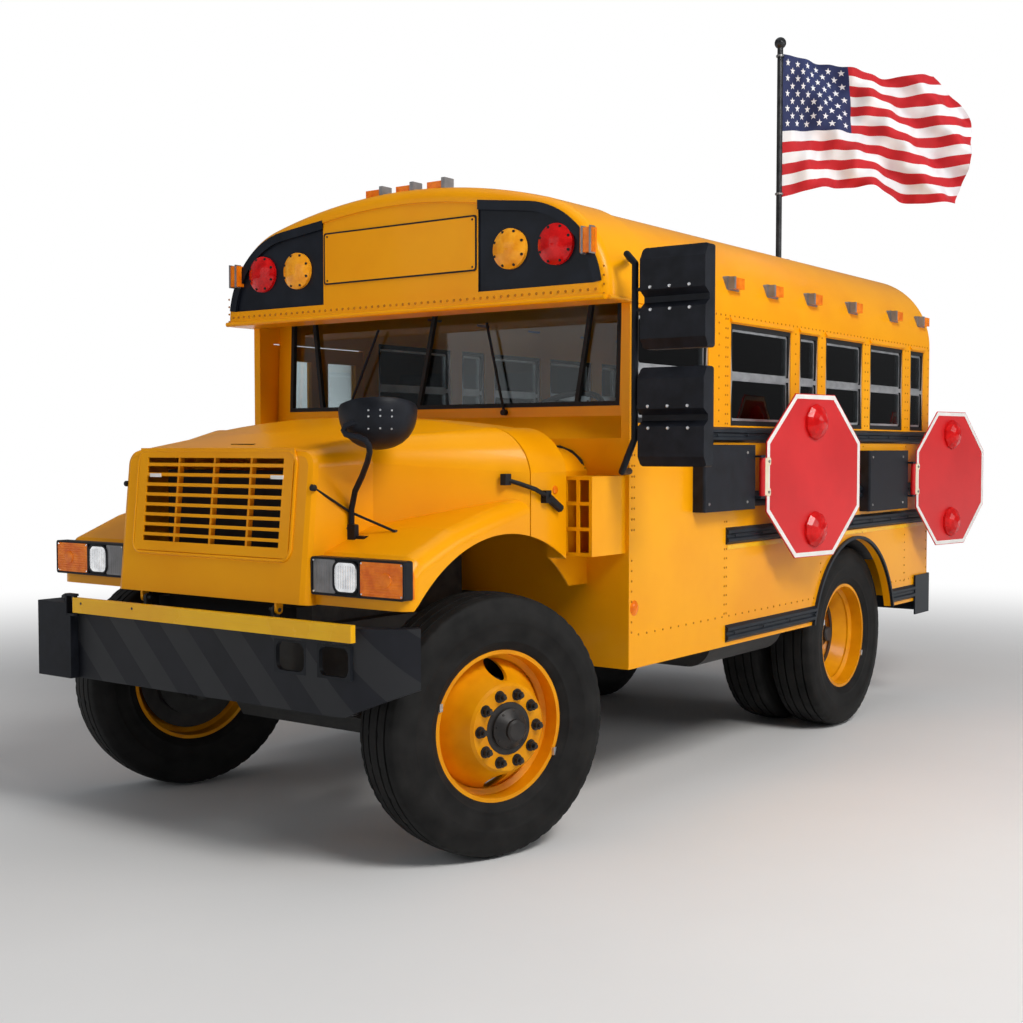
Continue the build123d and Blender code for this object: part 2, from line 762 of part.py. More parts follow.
grille = block(-grille_half_w - grille_frame, grille_half_w + grille_frame, -grille_proud, 0,
               grille_z0 - grille_frame, grille_z1 + grille_frame)
grille -= block(-grille_half_w + grille_frame, grille_half_w - grille_frame, -grille_depth, grille_depth,
                grille_z0 + grille_frame / 2, grille_z1 - grille_frame / 2)
pitch = (grille_z1 - grille_z0) / (bar_count + 1)
for i in range(1, bar_count + 1):
    z = grille_z0 + i * pitch
    grille += block(-grille_half_w, grille_half_w, -grille_proud, grille_depth, z - bar_h / 2, z + bar_h / 2)
for i in range(1, post_count + 1):
    x = -grille_half_w + i * 2 * grille_half_w / (post_count + 1)
    grille += block(x - post_w / 2, x + post_w / 2, 0, grille_depth, grille_z0, grille_z1)
parts["grille"] = raked(grille)

# Cross-view mirror: a bowl on a bent arm that stands on the left fender

dish_r = 160
dish_rise = 140
dish_tilt = 20
dish_x = 761
dish_y = -450
dish_z = 1863
cross_rod_r = 13
cross_foot_r = 30
cross_foot_t = 16
cross_foot_z = 1335
cross_foot_x = 615
cross_knee_x = 618
cross_knee_z = 1400
cross_head_x = 628
cross_head_z = 1745
cross_end_x = 700
cross_end_z = 1805
cross_path = (
    # x, y, z of the arm's bends, from the fender up to the dish
    (cross_foot_x, dish_y, cross_foot_z - cross_foot_t),
    (cross_knee_x, dish_y, cross_knee_z),
    (cross_head_x, dish_y, cross_head_z),
    (cross_end_x, dish_y, cross_end_z),
)
cross_arm = bent_rod(cross_path, cross_rod_r)
foot = rod_z(cross_foot_r, cross_foot_x, dish_y, cross_foot_z - 3 * cross_foot_t, cross_foot_z + cross_foot_t)
bowl = scale(Sphere(dish_r), by=(1, 1, dish_rise / dish_r))
bowl &= block(-dish_r, dish_r, -dish_r, dish_r, -dish_rise, 0)
dish = Pos(dish_x, dish_y, dish_z) * Rot(-dish_tilt, 0, 0) * bowl
cross = cross_arm + foot + dish - hood_form(0, 0)
parts["cross_mirrors"] = solids([cross])

# Cowl behind the hood, and the neck that joins it to the body


def cowl_shell(inset, over, y0, y1):
    return Pos(0, y1, 0) * extrude(Plane.XZ * make_face(seam_section(inset, over).edges()), y1 - y0)


cowl = cowl_shell(0, 0, hood_seam_y, cowl_rear_y)
cowl -= cowl_shell(skin, cut_over, hood_seam_y - cut_over, cowl_rear_y - skin)
cowl += cowl_shell(neck_inset, 0, cowl_rear_y - skin, body_front_y)
cowl -= cowl_shell(neck_inset + skin, cut_over, hood_seam_y - cut_over, body_front_y + cut_over)
cowl -= wheel_arches

# Body: floor, walls, roof, windows and the cap over the windshield

inner_half = body_half_width - wall
rear_inner_y = body_rear_y - wall
step_run = 415
arch_half = 600
arch_lead = 66
arch_y = wheelbase - arch_lead
arch_top_z = 1155
house_gap = 26
house_x0 = wheel_outer_x - tyre_w - twin_pitch - house_gap
sill_shares = (0.1, 0.4, 0.6, 0.95)
well_x0 = -inner_half + step_run
step_z0 = 400
step_z1 = 700
step_t = 14
header_z = 2560
tunnel_half = 500


def roof_face(inset, base_z):
    """Closed end outline of the body: straight sides, corner arcs and one long arc over the crest."""
    half = body_half_width - inset
    r = roof_corner_r - inset
    crest = roof_crest_z - inset
    centre_x = body_half_width - roof_corner_r
    slope = math.atan((crest - spring_z - r) / centre_x)
    turn = math.pi / 2 - 2 * slope
    end = (centre_x + r * math.cos(turn), spring_z + r * math.sin(turn))
    mid = (centre_x + r * math.cos(turn / 2), spring_z + r * math.sin(turn / 2))
    foot = (half, base_z)
    knee = (half, spring_z)
    flip = [(-x, z) for x, z in (foot, knee, mid, end)]
    edges = [
        ThreePointArc(flip[1], flip[2], flip[3]), ThreePointArc(flip[3], (0, crest), end),
        ThreePointArc(end, mid, knee), Line(foot, flip[0]),
    ]
    if base_z < spring_z:
        edges += [Line(flip[0], flip[1]), Line(knee, foot)]
    return make_face(edges)


def body_prism(inset, base_z, y0, y1):
    return Pos(0, y1, 0) * extrude(Plane.XZ * roof_face(inset, base_z), y1 - y0)


def arch_tunnel(grow, x0, x1):
    """Round-topped tunnel over the rear wheels, from the skirt up."""
    left = (arch_y - arch_half - grow, skirt_z - cut_over)
    right = (arch_y + arch_half + grow, skirt_z - cut_over)
    edges = [ThreePointArc(left, (arch_y, arch_top_z + grow), right), Line(right, left)]
    return Pos(x0, 0, 0) * extrude(Plane.YZ * make_face(edges), x1 - x0)


def body_y(share):
    """A place along the body, as a share of its length from the front wall."""
    return body_front_y + share * body_len


window_shares = (
    # front edge, rear edge, as shares of the body's length
    (0.0158, 0.1940),
    (0.2553, 0.4394),
    (0.4687, 0.5326),
    (0.5601, 0.7017),
    (0.7326, 0.8742),
    (0.9095, 0.9717),
)
left_windows = [(body_y(a), body_y(b)) for a, b in window_shares]
right_windows = left_windows[1:]
drip_t = 14
drip_rise = 28
drip_lip = 7
drip_end = 12


def side_wall(side, windows):
    shape = block(side * inner_half, side * body_half_width, body_front_y, body_rear_y, skirt_z, spring_z)
    for y0, y1 in windows:
        shape -= block(side * (inner_half - cut_over), side * (body_half_width + cut_over), y0, y1,
                       window_z0, window_z1)
        low = window_z1 + drip_lip
        out = body_half_width + drip_t
        profile = [
            (inner_half + skin, low), (out, low), (out, low + drip_lip), (body_half_width, low + drip_rise),
            (inner_half + skin, low + drip_rise),
        ]
        drip = along_y(profile, y0 - drip_end, y1 + drip_end)
        shape += drip if side > 0 else mirrored(drip)
    shape -= arch_tunnel(0, side * (inner_half - cut_over), side * (body_half_width + cut_over))
    return shape


left_wall = side_wall(1, left_windows)
right_wall = side_wall(-1, right_windows)
right_wall -= block(-inner_half + cut_over, -body_half_width - cut_over, door_y0, door_y1,
                    skirt_z - cut_over, door_z1)

rear_wall = body_prism(wall, skirt_z, rear_inner_y, body_rear_y)
rear_wall -= block(-exit_half_w, exit_half_w, rear_inner_y - cut_over, body_rear_y + cut_over, exit_z0, exit_z1)
pane_edge = 160
pane_w = 460
pane_x1 = body_half_width - pane_edge
pane_x0 = pane_x1 - pane_w
for side in (-1, 1):
    rear_wall -= block(side * pane_x0, side * pane_x1, rear_inner_y - cut_over, body_rear_y + cut_over,
                       window_z0, window_z1)

roof = body_prism(0, spring_z, cap_rear_y, body_rear_y)
roof -= body_prism(wall, spring_z - cut_over, cap_rear_y - cut_over, body_rear_y + cut_over)

screen_path = (
    # y, z of the front wall's outer face, from the bottom up
    (body_front_y, skirt_z),
    (body_front_y, ledge_z),
    (screen_foot_y, screen_z0 - 2 * sash_w),
    (screen_head_y, header_z),
)
front_points = list(screen_path) + [(y + wall, z) for y, z in screen_path[::-1]]
front_wall = along_x(front_points, -inner_half, inner_half)
screen_hole = block(-screen_half_w, screen_half_w, body_front_y - cut_over, screen_head_y + wall + cut_over,
                    screen_z0, screen_z1)
front_wall -= screen_hole
front_wall -= block(-tunnel_half, tunnel_half, body_front_y - cut_over, body_front_y + wall + cut_over,
                    skirt_z - cut_over, floor_z)
parts["front_wall"] = front_wall

lean = math.atan2(screen_head_y - screen_foot_y, header_z - screen_z0 + 2 * sash_w)
glass_points = []
for z in (screen_z0, screen_z1):
    glass_points.append((screen_foot_y + (z - screen_z0) * math.tan(lean) + wall / 2, z))
pane = [glass_points[0], glass_points[1], (glass_points[1][0] + window_t, screen_z1),
        (glass_points[0][0] + window_t, screen_z0)]
screen_glass = along_x(pane, -screen_half_w, screen_half_w)
rubber_w = 22
divider_foot_x = -150
divider_head_x = -45
quarter_foot = 246
quarter_head = 166
quarter_foot_x = screen_half_w - quarter_foot
quarter_head_x = screen_half_w - quarter_head
rubber_points = [(y - rubber_w, z) for y, z in glass_points] + [(y, z) for y, z in glass_points[::-1]]
rubber = along_x(rubber_points, -screen_half_w, screen_half_w)
rubber -= block(-screen_half_w + rubber_w, screen_half_w - rubber_w, body_front_y, screen_head_y + wall,
                screen_z0 + rubber_w, screen_z1 - rubber_w)
bars = (
    # x at the foot, x at the head
    (divider_foot_x, divider_head_x),
    (quarter_foot_x, quarter_head_x),
    (-quarter_foot_x, -quarter_head_x),
)
for foot_x, head_x in bars:
    bar = along_y(
        [(foot_x - rubber_w / 2, screen_z0), (foot_x + rubber_w / 2, screen_z0),
         (head_x + rubber_w / 2, screen_z1), (head_x - rubber_w / 2, screen_z1)],
        body_front_y, screen_head_y + wall,
    )
    rubber += bar & along_x(rubber_points, -screen_half_w, screen_half_w)

cap = body_prism(-cap_proud, cap_z0, cap_front_y, cap_rear_y)
front_edges = [e for e in cap.faces().sort_by(Axis.Y)[0].edges() if e.center().Z > cap_z0 + cap_edge_r]
cap = fillet(front_edges, cap_edge_r)
cap -= body_prism(cap_skin - cap_proud, cap_z0 + cap_skin, cap_front_y + cap_skin + lamp_recess,
                  cap_rear_y + cut_over)
recess_y = cap_front_y + lamp_recess
pocket = body_prism(recess_rim, spring_z, cap_front_y - cut_over, recess_y)
pocket &= block(-body_half_width, body_half_width, cap_front_y - cut_over, recess_y, recess_z0, roof_crest_z)
pocket -= block(-board_half_w, board_half_w, cap_front_y + board_recess, recess_y + cut_over,
                recess_z0, roof_crest_z)
cap -= pocket
cap_end_y = cap_rear_y + cut_over
cap -= block(-body_half_width, body_half_width, body_front_y, cap_end_y, cap_z0 - cut_over, spring_z)
cap -= block(-inner_half, inner_half, screen_head_y, cap_end_y, cap_z0 - cut_over, spring_z + cut_over)
parts["front_cap"] = cap
left_wall -= cap
right_wall -= cap

floor = block(-inner_half, inner_half, body_front_y + wall, rear_inner_y, floor_z, floor_z + floor_t)
wheel_wells = []
for side in (-1, 1):
    tunnel = arch_tunnel(0, side * house_x0, side * inner_half)
    floor -= tunnel
    house = arch_tunnel(step_t, side * house_x0, side * inner_half)
    house -= arch_tunnel(0, side * (house_x0 + step_t), side * (inner_half + cut_over))
    house &= block(-inner_half, inner_half, body_front_y, rear_inner_y, floor_z, spring_z)
    wheel_wells.append(house)
for house in wheel_wells:
    floor -= house
step_y0 = door_y0 - step_t
step_y1 = door_y1 + step_t
floor -= block(-inner_half, well_x0, step_y0, step_y1, floor_z - cut_over, floor_z + floor_t + cut_over)
sill_w = 60
sill_half = house_x0 - cut_over
for share in sill_shares:
    y = body_front_y + share * (body_rear_y - body_front_y)
    floor += block(-sill_half, sill_half, y - sill_w / 2, y + sill_w / 2, rail_top_z, floor_z)

tread_x = (well_x0 - inner_half) / 2
well = block(-inner_half, well_x0, step_y0, step_y1, step_z0, floor_z + floor_t)
well_z1 = floor_z + floor_t + cut_over
well -= block(-inner_half - cut_over, tread_x, door_y0, door_y1, step_z0 + step_t, well_z1)
well -= block(tread_x - cut_over, well_x0 - step_t, door_y0, door_y1, step_z1 + step_t, well_z1)
well -= block(tread_x + step_t, well_x0 + cut_over, step_y0 - cut_over, step_y1 + cut_over,
              step_z0 - cut_over, step_z1)
parts["floor"] = solids([floor, well] + wheel_wells)

# Window frames and glass

latch_z = 2075
frames = []
panes = []
for side, windows in ((1, left_windows), (-1, right_windows)):
    x1 = side * (body_half_width - strap_t)
    x0 = side * (body_half_width - strap_t - sash_t)
    for y0, y1 in windows:
        ring = block(x0, x1, y0, y1, window_z0, window_z1)
        ring -= block(x0 - side * cut_over, x1 + side * cut_over, y0 + sash_w, y1 - sash_w,
                      window_z0 + sash_w, window_z1 - sash_w)
        ring += block(x0, x1, y0 + sash_w, y1 - sash_w, latch_z - sash_w / 2, latch_z + sash_w / 2)
        pane_x = side * (body_half_width - sash_t / 2 - strap_t)
        for z0, z1 in ((window_z0 + sash_w, latch_z - sash_w / 2), (latch_z + sash_w / 2, window_z1 - sash_w)):
            panes.append(block(pane_x, pane_x + side * window_t, y0 + sash_w, y1 - sash_w, z0, z1))
        frames.append(ring)
for side in (-1, 1):
    ring = block(side * pane_x0, side * pane_x1, body_rear_y - sash_t, body_rear_y - strap_t,
                 window_z0, window_z1)
    hole = block(side * (pane_x0 + sash_w), side * (pane_x1 - sash_w), rear_inner_y, body_rear_y + cut_over,
                 window_z0 + sash_w, window_z1 - sash_w)
    frames.append(ring - hole)
    panes.append(block(side * (pane_x0 + sash_w), side * (pane_x1 - sash_w), body_rear_y - sash_t,
                       body_rear_y - sash_t + window_t, window_z0 + sash_w, window_z1 - sash_w))
parts["window_glass"] = solids(panes + [screen_glass])

# Doors on their hinges: two outward leaves at the front right, and an emergency door at the rear

hinge_zs = (700, 1350, 2050)
hinge_h = 120
exit_hinge_zs = (1200, 1700, 2200)
door_mid_y = (door_y0 + door_y1) / 2
hinge_x = -(body_half_width + knuckle_r + hinge_standoff)
leaf_x0 = -body_half_width
leaf_x1 = -body_half_width + leaf_t
lights = (
    # z from, z to of the glass in each leaf
    (600, 1180),
    (1330, 2200),
)
stile = 62


def across_door(shape):
    """Mirror a front-leaf piece to the rear leaf."""
    return mirror(shape, about=Plane.XZ.offset(-door_mid_y))


leaf = block(leaf_x0, leaf_x1, door_y0 + clearance, door_mid_y - clearance, door_z0, door_z1 - clearance)
leaf_glass = []
for z0, z1 in lights:
    y0 = door_y0 + clearance + stile
    y1 = door_mid_y - clearance - stile
    leaf -= block(leaf_x0 - cut_over, leaf_x1 + cut_over, y0, y1, z0, z1)
    mid_x = (leaf_x0 + leaf_x1) / 2
    leaf_glass.append(block(mid_x - window_t / 2, mid_x + window_t / 2, y0, y1, z0, z1))
for z in hinge_zs:
    fixed, moving = vertical_hinge(hinge_x, door_y0, 90, z, z + hinge_h, 0)
    leaf += moving
    if z > skirt_z:
        right_wall += fixed
        right_wall += across_door(fixed)
parts["front_door_leaf"] = leaf
parts["rear_door_leaf"] = across_door(leaf)
parts["front_leaf_glass"] = solids(leaf_glass)
parts["rear_leaf_glass"] = solids([across_door(pane) for pane in leaf_glass])

exit_y0 = body_rear_y - leaf_t
exit_leaf = block(-exit_half_w + clearance, exit_half_w - clearance, exit_y0, body_rear_y,
                  exit_z0 + clearance, exit_z1 - clearance)
exit_lights = (
    # z from, z to
    (1280, 1620),
    (1840, 2320),
)
exit_panes = []
exit_stile = 90
for z0, z1 in exit_lights:
    x = exit_half_w - exit_stile
    exit_leaf -= block(-x, x, exit_y0 - cut_over, body_rear_y + cut_over, z0, z1)
    mid_y = (exit_y0 + body_rear_y) / 2
    exit_panes.append(block(-x, x, mid_y - window_t / 2, mid_y + window_t / 2, z0, z1))
handle_x = 380
handle_z = 1730
handle_len = 180
handle_r = 12
handle_reach = 50
for z in exit_hinge_zs:
    fixed, moving = vertical_hinge(-exit_half_w, body_rear_y + knuckle_r + hinge_standoff, 0, z, z + hinge_h, 0)
    exit_leaf += moving
    rear_wall += fixed
exit_leaf += rod_y(handle_r, handle_x, body_rear_y - handle_r, body_rear_y + handle_reach, handle_z)
grip_y = body_rear_y + handle_reach - handle_r
exit_leaf += rod_x(handle_r, handle_x - handle_len, handle_x + handle_r, grip_y, handle_z)
parts["emergency_door"] = exit_leaf
parts["emergency_door_glass"] = solids(exit_panes)

# Stop arms: each octagon hangs on a box on the left side

motor_boxes = (
    # name, front and rear as shares of the body's length, z from, z to
    ("front", 0.1538, 0.2978, 1390, 1722),
    ("rear", 0.6947, 0.8615, 1320, 1690),
)
motor_box_t = 66
arm_gap = 14
sign_lug_t = 12
sign_lug_r = 16
sign_pin_r = 7
sign_start = 34
tab_half = 100
lamp_r = 92
lamp_rise = 52
lamp_share = 0.33
octagon_sides = 8


def octagon(x, y, z, across, thick):
    """Eight-sided plate that stands across X, centred on y, z."""
    half = across / 2
    cut = half * math.tan(math.pi / octagon_sides)
    corners = [(-half, -cut), (-cut, -half), (cut, -half), (half, -cut),
               (half, cut), (cut, half), (-cut, half), (-half, cut)]
    return along_x([(y + a, z + b) for a, b in corners], x - thick / 2, x + thick / 2)


def dome(r, rise, x, y, z, side):
    """A shallow lamp lens that bulges along X, towards side."""
    ball = (r * r + rise * rise) / (2 * rise)
    half = math.asin(r / ball) / 2
    mid = (rise - ball + ball * math.cos(half), ball * math.sin(half))
    edges = [Line((0, 0), (0, r)), ThreePointArc((0, r), mid, (rise, 0)), Line((rise, 0), (0, 0))]
    turn = 0 if side > 0 else 180
    return Pos(x, y, z) * Rot(0, 0, turn) * revolve(make_face(edges), axis=Axis.X)


box_cuts = []
arm_boxes = [motor]
for name, share0, share1, z0, z1 in motor_boxes:
    y0 = body_y(share0)
    y1 = body_y(share1)
    box = block(body_half_width, body_half_width + motor_box_t, y0, y1, z0, z1)
    box_cuts.append(box)
    outer = [e for e in box.edges().filter_by(Axis.Z) if e.center().X > body_half_width + arm_gap]
    box = fillet(outer, arm_gap)
    pin_y = y1 + arm_gap + sign_lug_r
    mid_z = (z0 + z1) / 2
    for z in (mid_z - tab_half - sign_lug_t, mid_z + tab_half):
        box += block(body_half_width + motor_box_t / 2, sign_x + sign_lug_r, y1 - arm_gap, y1 + arm_gap,
                     z, z + sign_lug_t)
        box += block(sign_x - sign_lug_r, sign_x + sign_lug_r, y1, pin_y, z, z + sign_lug_t)
        box += rod_z(sign_lug_r, sign_x, pin_y, z, z + sign_lug_t)
    box += rod_z(sign_pin_r, sign_x, pin_y, mid_z - tab_half, mid_z + tab_half)
    arm_boxes.append(box)
    sign_y = pin_y + sign_start + sign_across / 2
    tab0 = mid_z - tab_half + hinge_standoff
    tab1 = mid_z + tab_half - hinge_standoff
    sign = octagon(sign_x, sign_y, mid_z, sign_across, sign_t)
    sign += block(sign_x - sign_t / 2, sign_x + sign_t / 2, pin_y, pin_y + 2 * sign_start, tab0, tab1)
    sign += rod_z(sign_lug_r, sign_x, pin_y, tab0, tab1)
    sign -= rod_z(sign_pin_r + fit_gap, sign_x, pin_y, tab0 - cut_over, tab1 + cut_over)
    lamps = []
    for up in (-1, 1):
        for side in (-1, 1):
            lamps.append(dome(lamp_r, lamp_rise, sign_x + side * sign_t / 2, sign_y,
                              mid_z + up * lamp_share * sign_across, side))
    swing = Pos(sign_x, pin_y, 0) * Rot(0, 0, -sign_rest_deg) * Pos(-sign_x, -pin_y, 0)
    parts[name + "_stop_sign"] = swing * solids([sign] + lamps)
parts["arm_boxes"] = solids(arm_boxes)

# Rub rails, rear bumper and the vent box

rail_strips = (
    # z from, z to, front edge y; right-side strips start behind the door
    (710, 800, 1685),
    (1212, 1300, 1685),
    (1400, 1480, 1685),
    (1733, 1812, 1500),
)
strip_t = 18
rear_bumper_z0 = 600
rear_bumper_z1 = 860
rear_bumper_side = 250
rear_bumper_y0 = body_rear_y - rear_bumper_side
groove = 9
strips = []
for z0, z1, y0 in rail_strips:
    mid = (z0 + z1) / 2
    lip = (z1 - z0) / 6
    profile = [
        (body_half_width, z0), (body_half_width + strip_t, z0 + lip), (body_half_width + strip_t, z0 + 2 * lip),
        (body_half_width + groove, mid - lip / 2), (body_half_width + groove, mid + lip / 2),
        (body_half_width + strip_t, z1 - 2 * lip), (body_half_width + strip_t, z1 - lip), (body_half_width, z1),
    ]
    strip = along_y(profile, y0, body_rear_y)
    strip -= arch_tunnel(lip, body_half_width, body_half_width + 2 * strip_t)
    other = mirrored(along_y(profile, door_y1 + strap_len + cut_over, body_rear_y)
                     - arch_tunnel(lip, body_half_width, body_half_width + 2 * strip_t))
    for box in box_cuts:
        strip -= box
    strips += [strip, other]
trim = arch_tunnel(strip_t, body_half_width, body_half_width + strip_t) - arch_tunnel(
    0, body_half_width - cut_over, body_half_width + 2 * strip_t)
trim &= block(body_half_width, body_half_width + strip_t, arch_y - 2 * arch_half, arch_y + 2 * arch_half,
              skirt_z, spring_z)
bumper_zone = block(-2 * body_half_width, 2 * body_half_width, rear_bumper_y0, 2 * body_rear_y, rear_bumper_z0,
                    rear_bumper_z1)
strips = [strip - trim - mirrored(trim) - bumper_zone for strip in strips]
parts["rub_rails"] = solids(strips + both(trim))

rear_bumper_t = 10
rear_bumper_reach = 34
side_reach = 16
outer_x = body_half_width + side_reach
rear_y = body_rear_y + rear_bumper_reach
rear_bumper = block(-outer_x, outer_x, rear_bumper_y0, rear_y, rear_bumper_z0, rear_bumper_z1)
corners = [e for e in rear_bumper.edges().filter_by(Axis.Z) if e.center().Y > body_rear_y]
rear_bumper = fillet(corners, rear_bumper_reach)
inside_x = outer_x - rear_bumper_t
inside_y = rear_y - rear_bumper_t
rear_bumper -= block(-inside_x, inside_x, rear_bumper_y0 - cut_over, inside_y,
                     rear_bumper_z0 - cut_over, rear_bumper_z1 + cut_over)
for side in (-1, 1):
    x0 = side * (rail_outer_x - rail_flange)
    x1 = side * rail_outer_x
    rear_bumper += block(x0, x1, rail_rear_y - rail_flange, inside_y, rear_bumper_z0, skirt_z - clearance)
    rear_bumper += block(x0, x1, rail_rear_y - rail_flange, rail_rear_y, rear_bumper_z0, rail_z0)
parts["rear_bumper"] = rear_bumper

vent_w = 150
vent_edge = 20
vent_x1 = body_half_width - vent_edge
vent_x0 = vent_x1 - vent_w
vent_y0 = 465
vent_z0 = 1225
vent_z1 = 1580
vent_t = 8
vent_bar = 16
slot_w = (vent_x1 - vent_x0 - 3 * vent_bar) / 2
slot_h = (vent_z1 - vent_z0 - 4 * vent_bar) / 3
vent = block(vent_x0, vent_x1, vent_y0, body_front_y, vent_z0, vent_z1)
vent -= block(vent_x0 + vent_t, vent_x1 - vent_t, vent_y0 + vent_t, body_front_y + cut_over,
              vent_z0 + vent_t, vent_z1 - vent_t)
for i in range(2):
    for j in range(3):
        x = vent_x0 + vent_bar + i * (slot_w + vent_bar)
        z = vent_z0 + vent_bar + j * (slot_h + vent_bar)
        vent -= block(x, x + slot_w, vent_y0 - cut_over, vent_y0 + vent_t + cut_over, z, z + slot_h)
parts["cowl"] = solids([cowl, vent])

# Warning lamps, clearance lamps and tail lamps

warning_lamps = (
    # name, distance of its middle from the body's side
    ("amber", 532),
    ("red", 274),
)
lamp_can = 18
warning_z = 2627
warning_r = 94
warning_rise = 26
lenses = {}
for name, edge in warning_lamps:
    lens = []
    for side in (-1, 1):
        for face_y, out in ((cap_front_y + lamp_recess, -1), (body_rear_y, 1)):
            lamp = rod_x(warning_r, 0, lamp_can, 0, 0) + dome(warning_r, warning_rise, lamp_can, 0, 0, 1)
            lens.append(Pos(side * (body_half_width - edge), face_y, warning_z) * Rot(0, 0, 90 * out) * lamp)
    lenses[name] = lens

marker_shares = (0.2685, 0.3878, 0.5201, 0.6719, 0.8431, 0.9689)
marker_z = 2545
marker_half = 55
marker_h = 56
marker_t = 62
top_marker_xs = (-200, 0, 200)
edge_marker_inset = 90
edge_marker_x = body_half_width - edge_marker_inset
edge_marker_w = 60
edge_marker_h = 110
markers = []
roof_solid = body_prism(0, spring_z, cap_front_y, body_rear_y)
cap_solid = body_prism(-cap_proud, cap_z0, cap_front_y, cap_rear_y)
for share in marker_shares:
    y = body_y(share)
    box = block(body_half_width - 2 * marker_t, body_half_width + marker_t / 3, y - marker_half,
                y + marker_half, marker_z - marker_h / 2, marker_z + marker_h / 2)
    box -= roof_solid
    markers += both(box)
top_z = roof_crest_z + cap_proud
for x in top_marker_xs:
    box = block(x - marker_half, x + marker_half, cap_front_y + cap_edge_r, cap_front_y + cap_edge_r + marker_t,
                top_z - marker_h, top_z + marker_h / 2)
    markers.append(box - cap_solid)
for side in (-1, 1):
    box = block(side * (edge_marker_x - edge_marker_w / 2), side * (edge_marker_x + edge_marker_w / 2),
                cap_front_y - marker_t / 2, cap_front_y + lamp_recess, warning_z - edge_marker_h / 2,
                warning_z + edge_marker_h / 2)
    markers.append(box - cap)
side_marker_r = 36
side_marker_rise = 14
side_marker_y = 792
side_marker_z = 970
markers += both(dome(side_marker_r, side_marker_rise, body_half_width, side_marker_y, side_marker_z, 1))
parts["amber_lamps"] = solids(lenses["amber"] + markers)

tail_lamps = (
    # distance from the body's side, z, radius
    (460, 1560, 92),
    (260, 1560, 92),
    (360, 1330, 60),
)
tails = []
for edge, z, r in tail_lamps:
    lamp = Pos(body_half_width - edge, body_rear_y, z) * Rot(0, 0, 90) * dome(r, warning_rise, 0, 0, 0, 1)
    tails += both(lamp)
parts["red_lamps"] = solids(lenses["red"] + tails)

# Outside mirrors on a tube arm at the driver's side

mirror_y = 600
mirror_heads = (
    # distance out from the body's side, from and to; z from, z to
    (165, 486, 2135, 2575),
    (155, 482, 1625, 2057),
)
mirror_depth = 90
head_shares = (
    # y as a share of the head's depth, z as a share of its height, round its side outline
    (1.00, 0.00), (1.00, 1.00), (0.35, 1.00), (0.00, 0.88), (0.00, 0.58), (0.45, 0.52),
    (0.45, 0.46), (0.05, 0.40), (0.05, 0.10), (0.35, 0.00),
)
mirror_reach = 115
mirror_post_x = body_half_width + mirror_reach
mirror_rod_r = 15
mirror_top_z = 2560
mirror_foot_z = 1600
top_out = 72
foot_out = 50
post_z0 = 1745
post_z1 = 2515
path = [
    (body_half_width, body_front_y, mirror_foot_z),
    (body_half_width + foot_out, mirror_y, mirror_foot_z),
    (mirror_post_x, mirror_y, post_z0), (mirror_post_x, mirror_y, post_z1),
    (body_half_width + top_out, mirror_y, mirror_top_z),
    (body_half_width, body_front_y, mirror_top_z),
]
tube = bent_rod(path, mirror_rod_r)
for out0, out1, z0, z1 in mirror_heads:
    mid = (z0 + z1) / 2
    x0 = body_half_width + out0
    for z in (mid - 3 * mirror_rod_r, mid + 3 * mirror_rod_r):
        tube += block(mirror_post_x, x0 + mirror_rod_r, mirror_y - mirror_rod_r / 2,
                      mirror_y + mirror_rod_r / 2, z - mirror_rod_r / 2, z + mirror_rod_r / 2)
heads = []
for out0, out1, z0, z1 in mirror_heads:
    profile = [(mirror_y + (sy - 0.5) * mirror_depth, z0 + sz * (z1 - z0)) for sy, sz in head_shares]
    head = along_x(profile, body_half_width + out0, body_half_width + out1)
    head = fillet(head.edges().filter_by(Axis.Y), mirror_rod_r)
    heads.append(head)
    tube -= head
tube -= cap_solid
tube -= body_prism(0, skirt_z, body_front_y, body_rear_y)
parts["side_mirrors"] = solids([tube] + heads)

# Inside: seats, dash, steering wheel

seat_shares = (0.2737, 0.4501, 0.6265, 0.8029)
aisle_half_w = 230
seat_gap = 15
seat_x0 = aisle_half_w
seat_x1 = inner_half - seat_gap
seat_top = 1900
seat_h = 430
seat_len = 400
cushion_t = 130
back_t = 80
leg_w = 40
seats = []
legs = []
floor_top = floor_z + floor_t
for share in seat_shares:
    y = body_y(share)
    profile = [
        (y, floor_top + seat_h - cushion_t), (y + seat_len, floor_top + seat_h - cushion_t),
        (y + seat_len + 2 * back_t, seat_top), (y + seat_len + back_t, seat_top),
        (y + seat_len - back_t, floor_top + seat_h), (y, floor_top + seat_h),
    ]
    for side in (-1, 1):
        x0, x1 = sorted((side * seat_x0, side * seat_x1))
        form = along_x(profile, x0, x1)
        for house in wheel_wells:
            form -= house
        seats.append(form)
        leg_x = side * (seat_x0 + 2 * leg_w)
        legs.append(block(leg_x - leg_w / 2, leg_x + leg_w / 2, y + leg_w, y + seat_len - leg_w, floor_top,
                          floor_top + seat_h - cushion_t))
driver_inset = 600
driver_x = body_half_width - driver_inset
driver_y = 1150
driver_w = 480
profile = [
    (driver_y, floor_top + seat_h), (driver_y + seat_len, floor_top + seat_h),
    (driver_y + seat_len + 2 * back_t, seat_top), (driver_y + seat_len + back_t, seat_top),
    (driver_y + seat_len - back_t, floor_top + seat_h + cushion_t), (driver_y, floor_top + seat_h + cushion_t),
]
seats.append(along_x(profile, driver_x - driver_w / 2, driver_x + driver_w / 2))
legs.append(block(driver_x - driver_w / 4, driver_x + driver_w / 4, driver_y + 2 * leg_w,
                  driver_y + seat_len - 2 * leg_w, floor_top, floor_top + seat_h))
parts["seats"] = solids(seats)

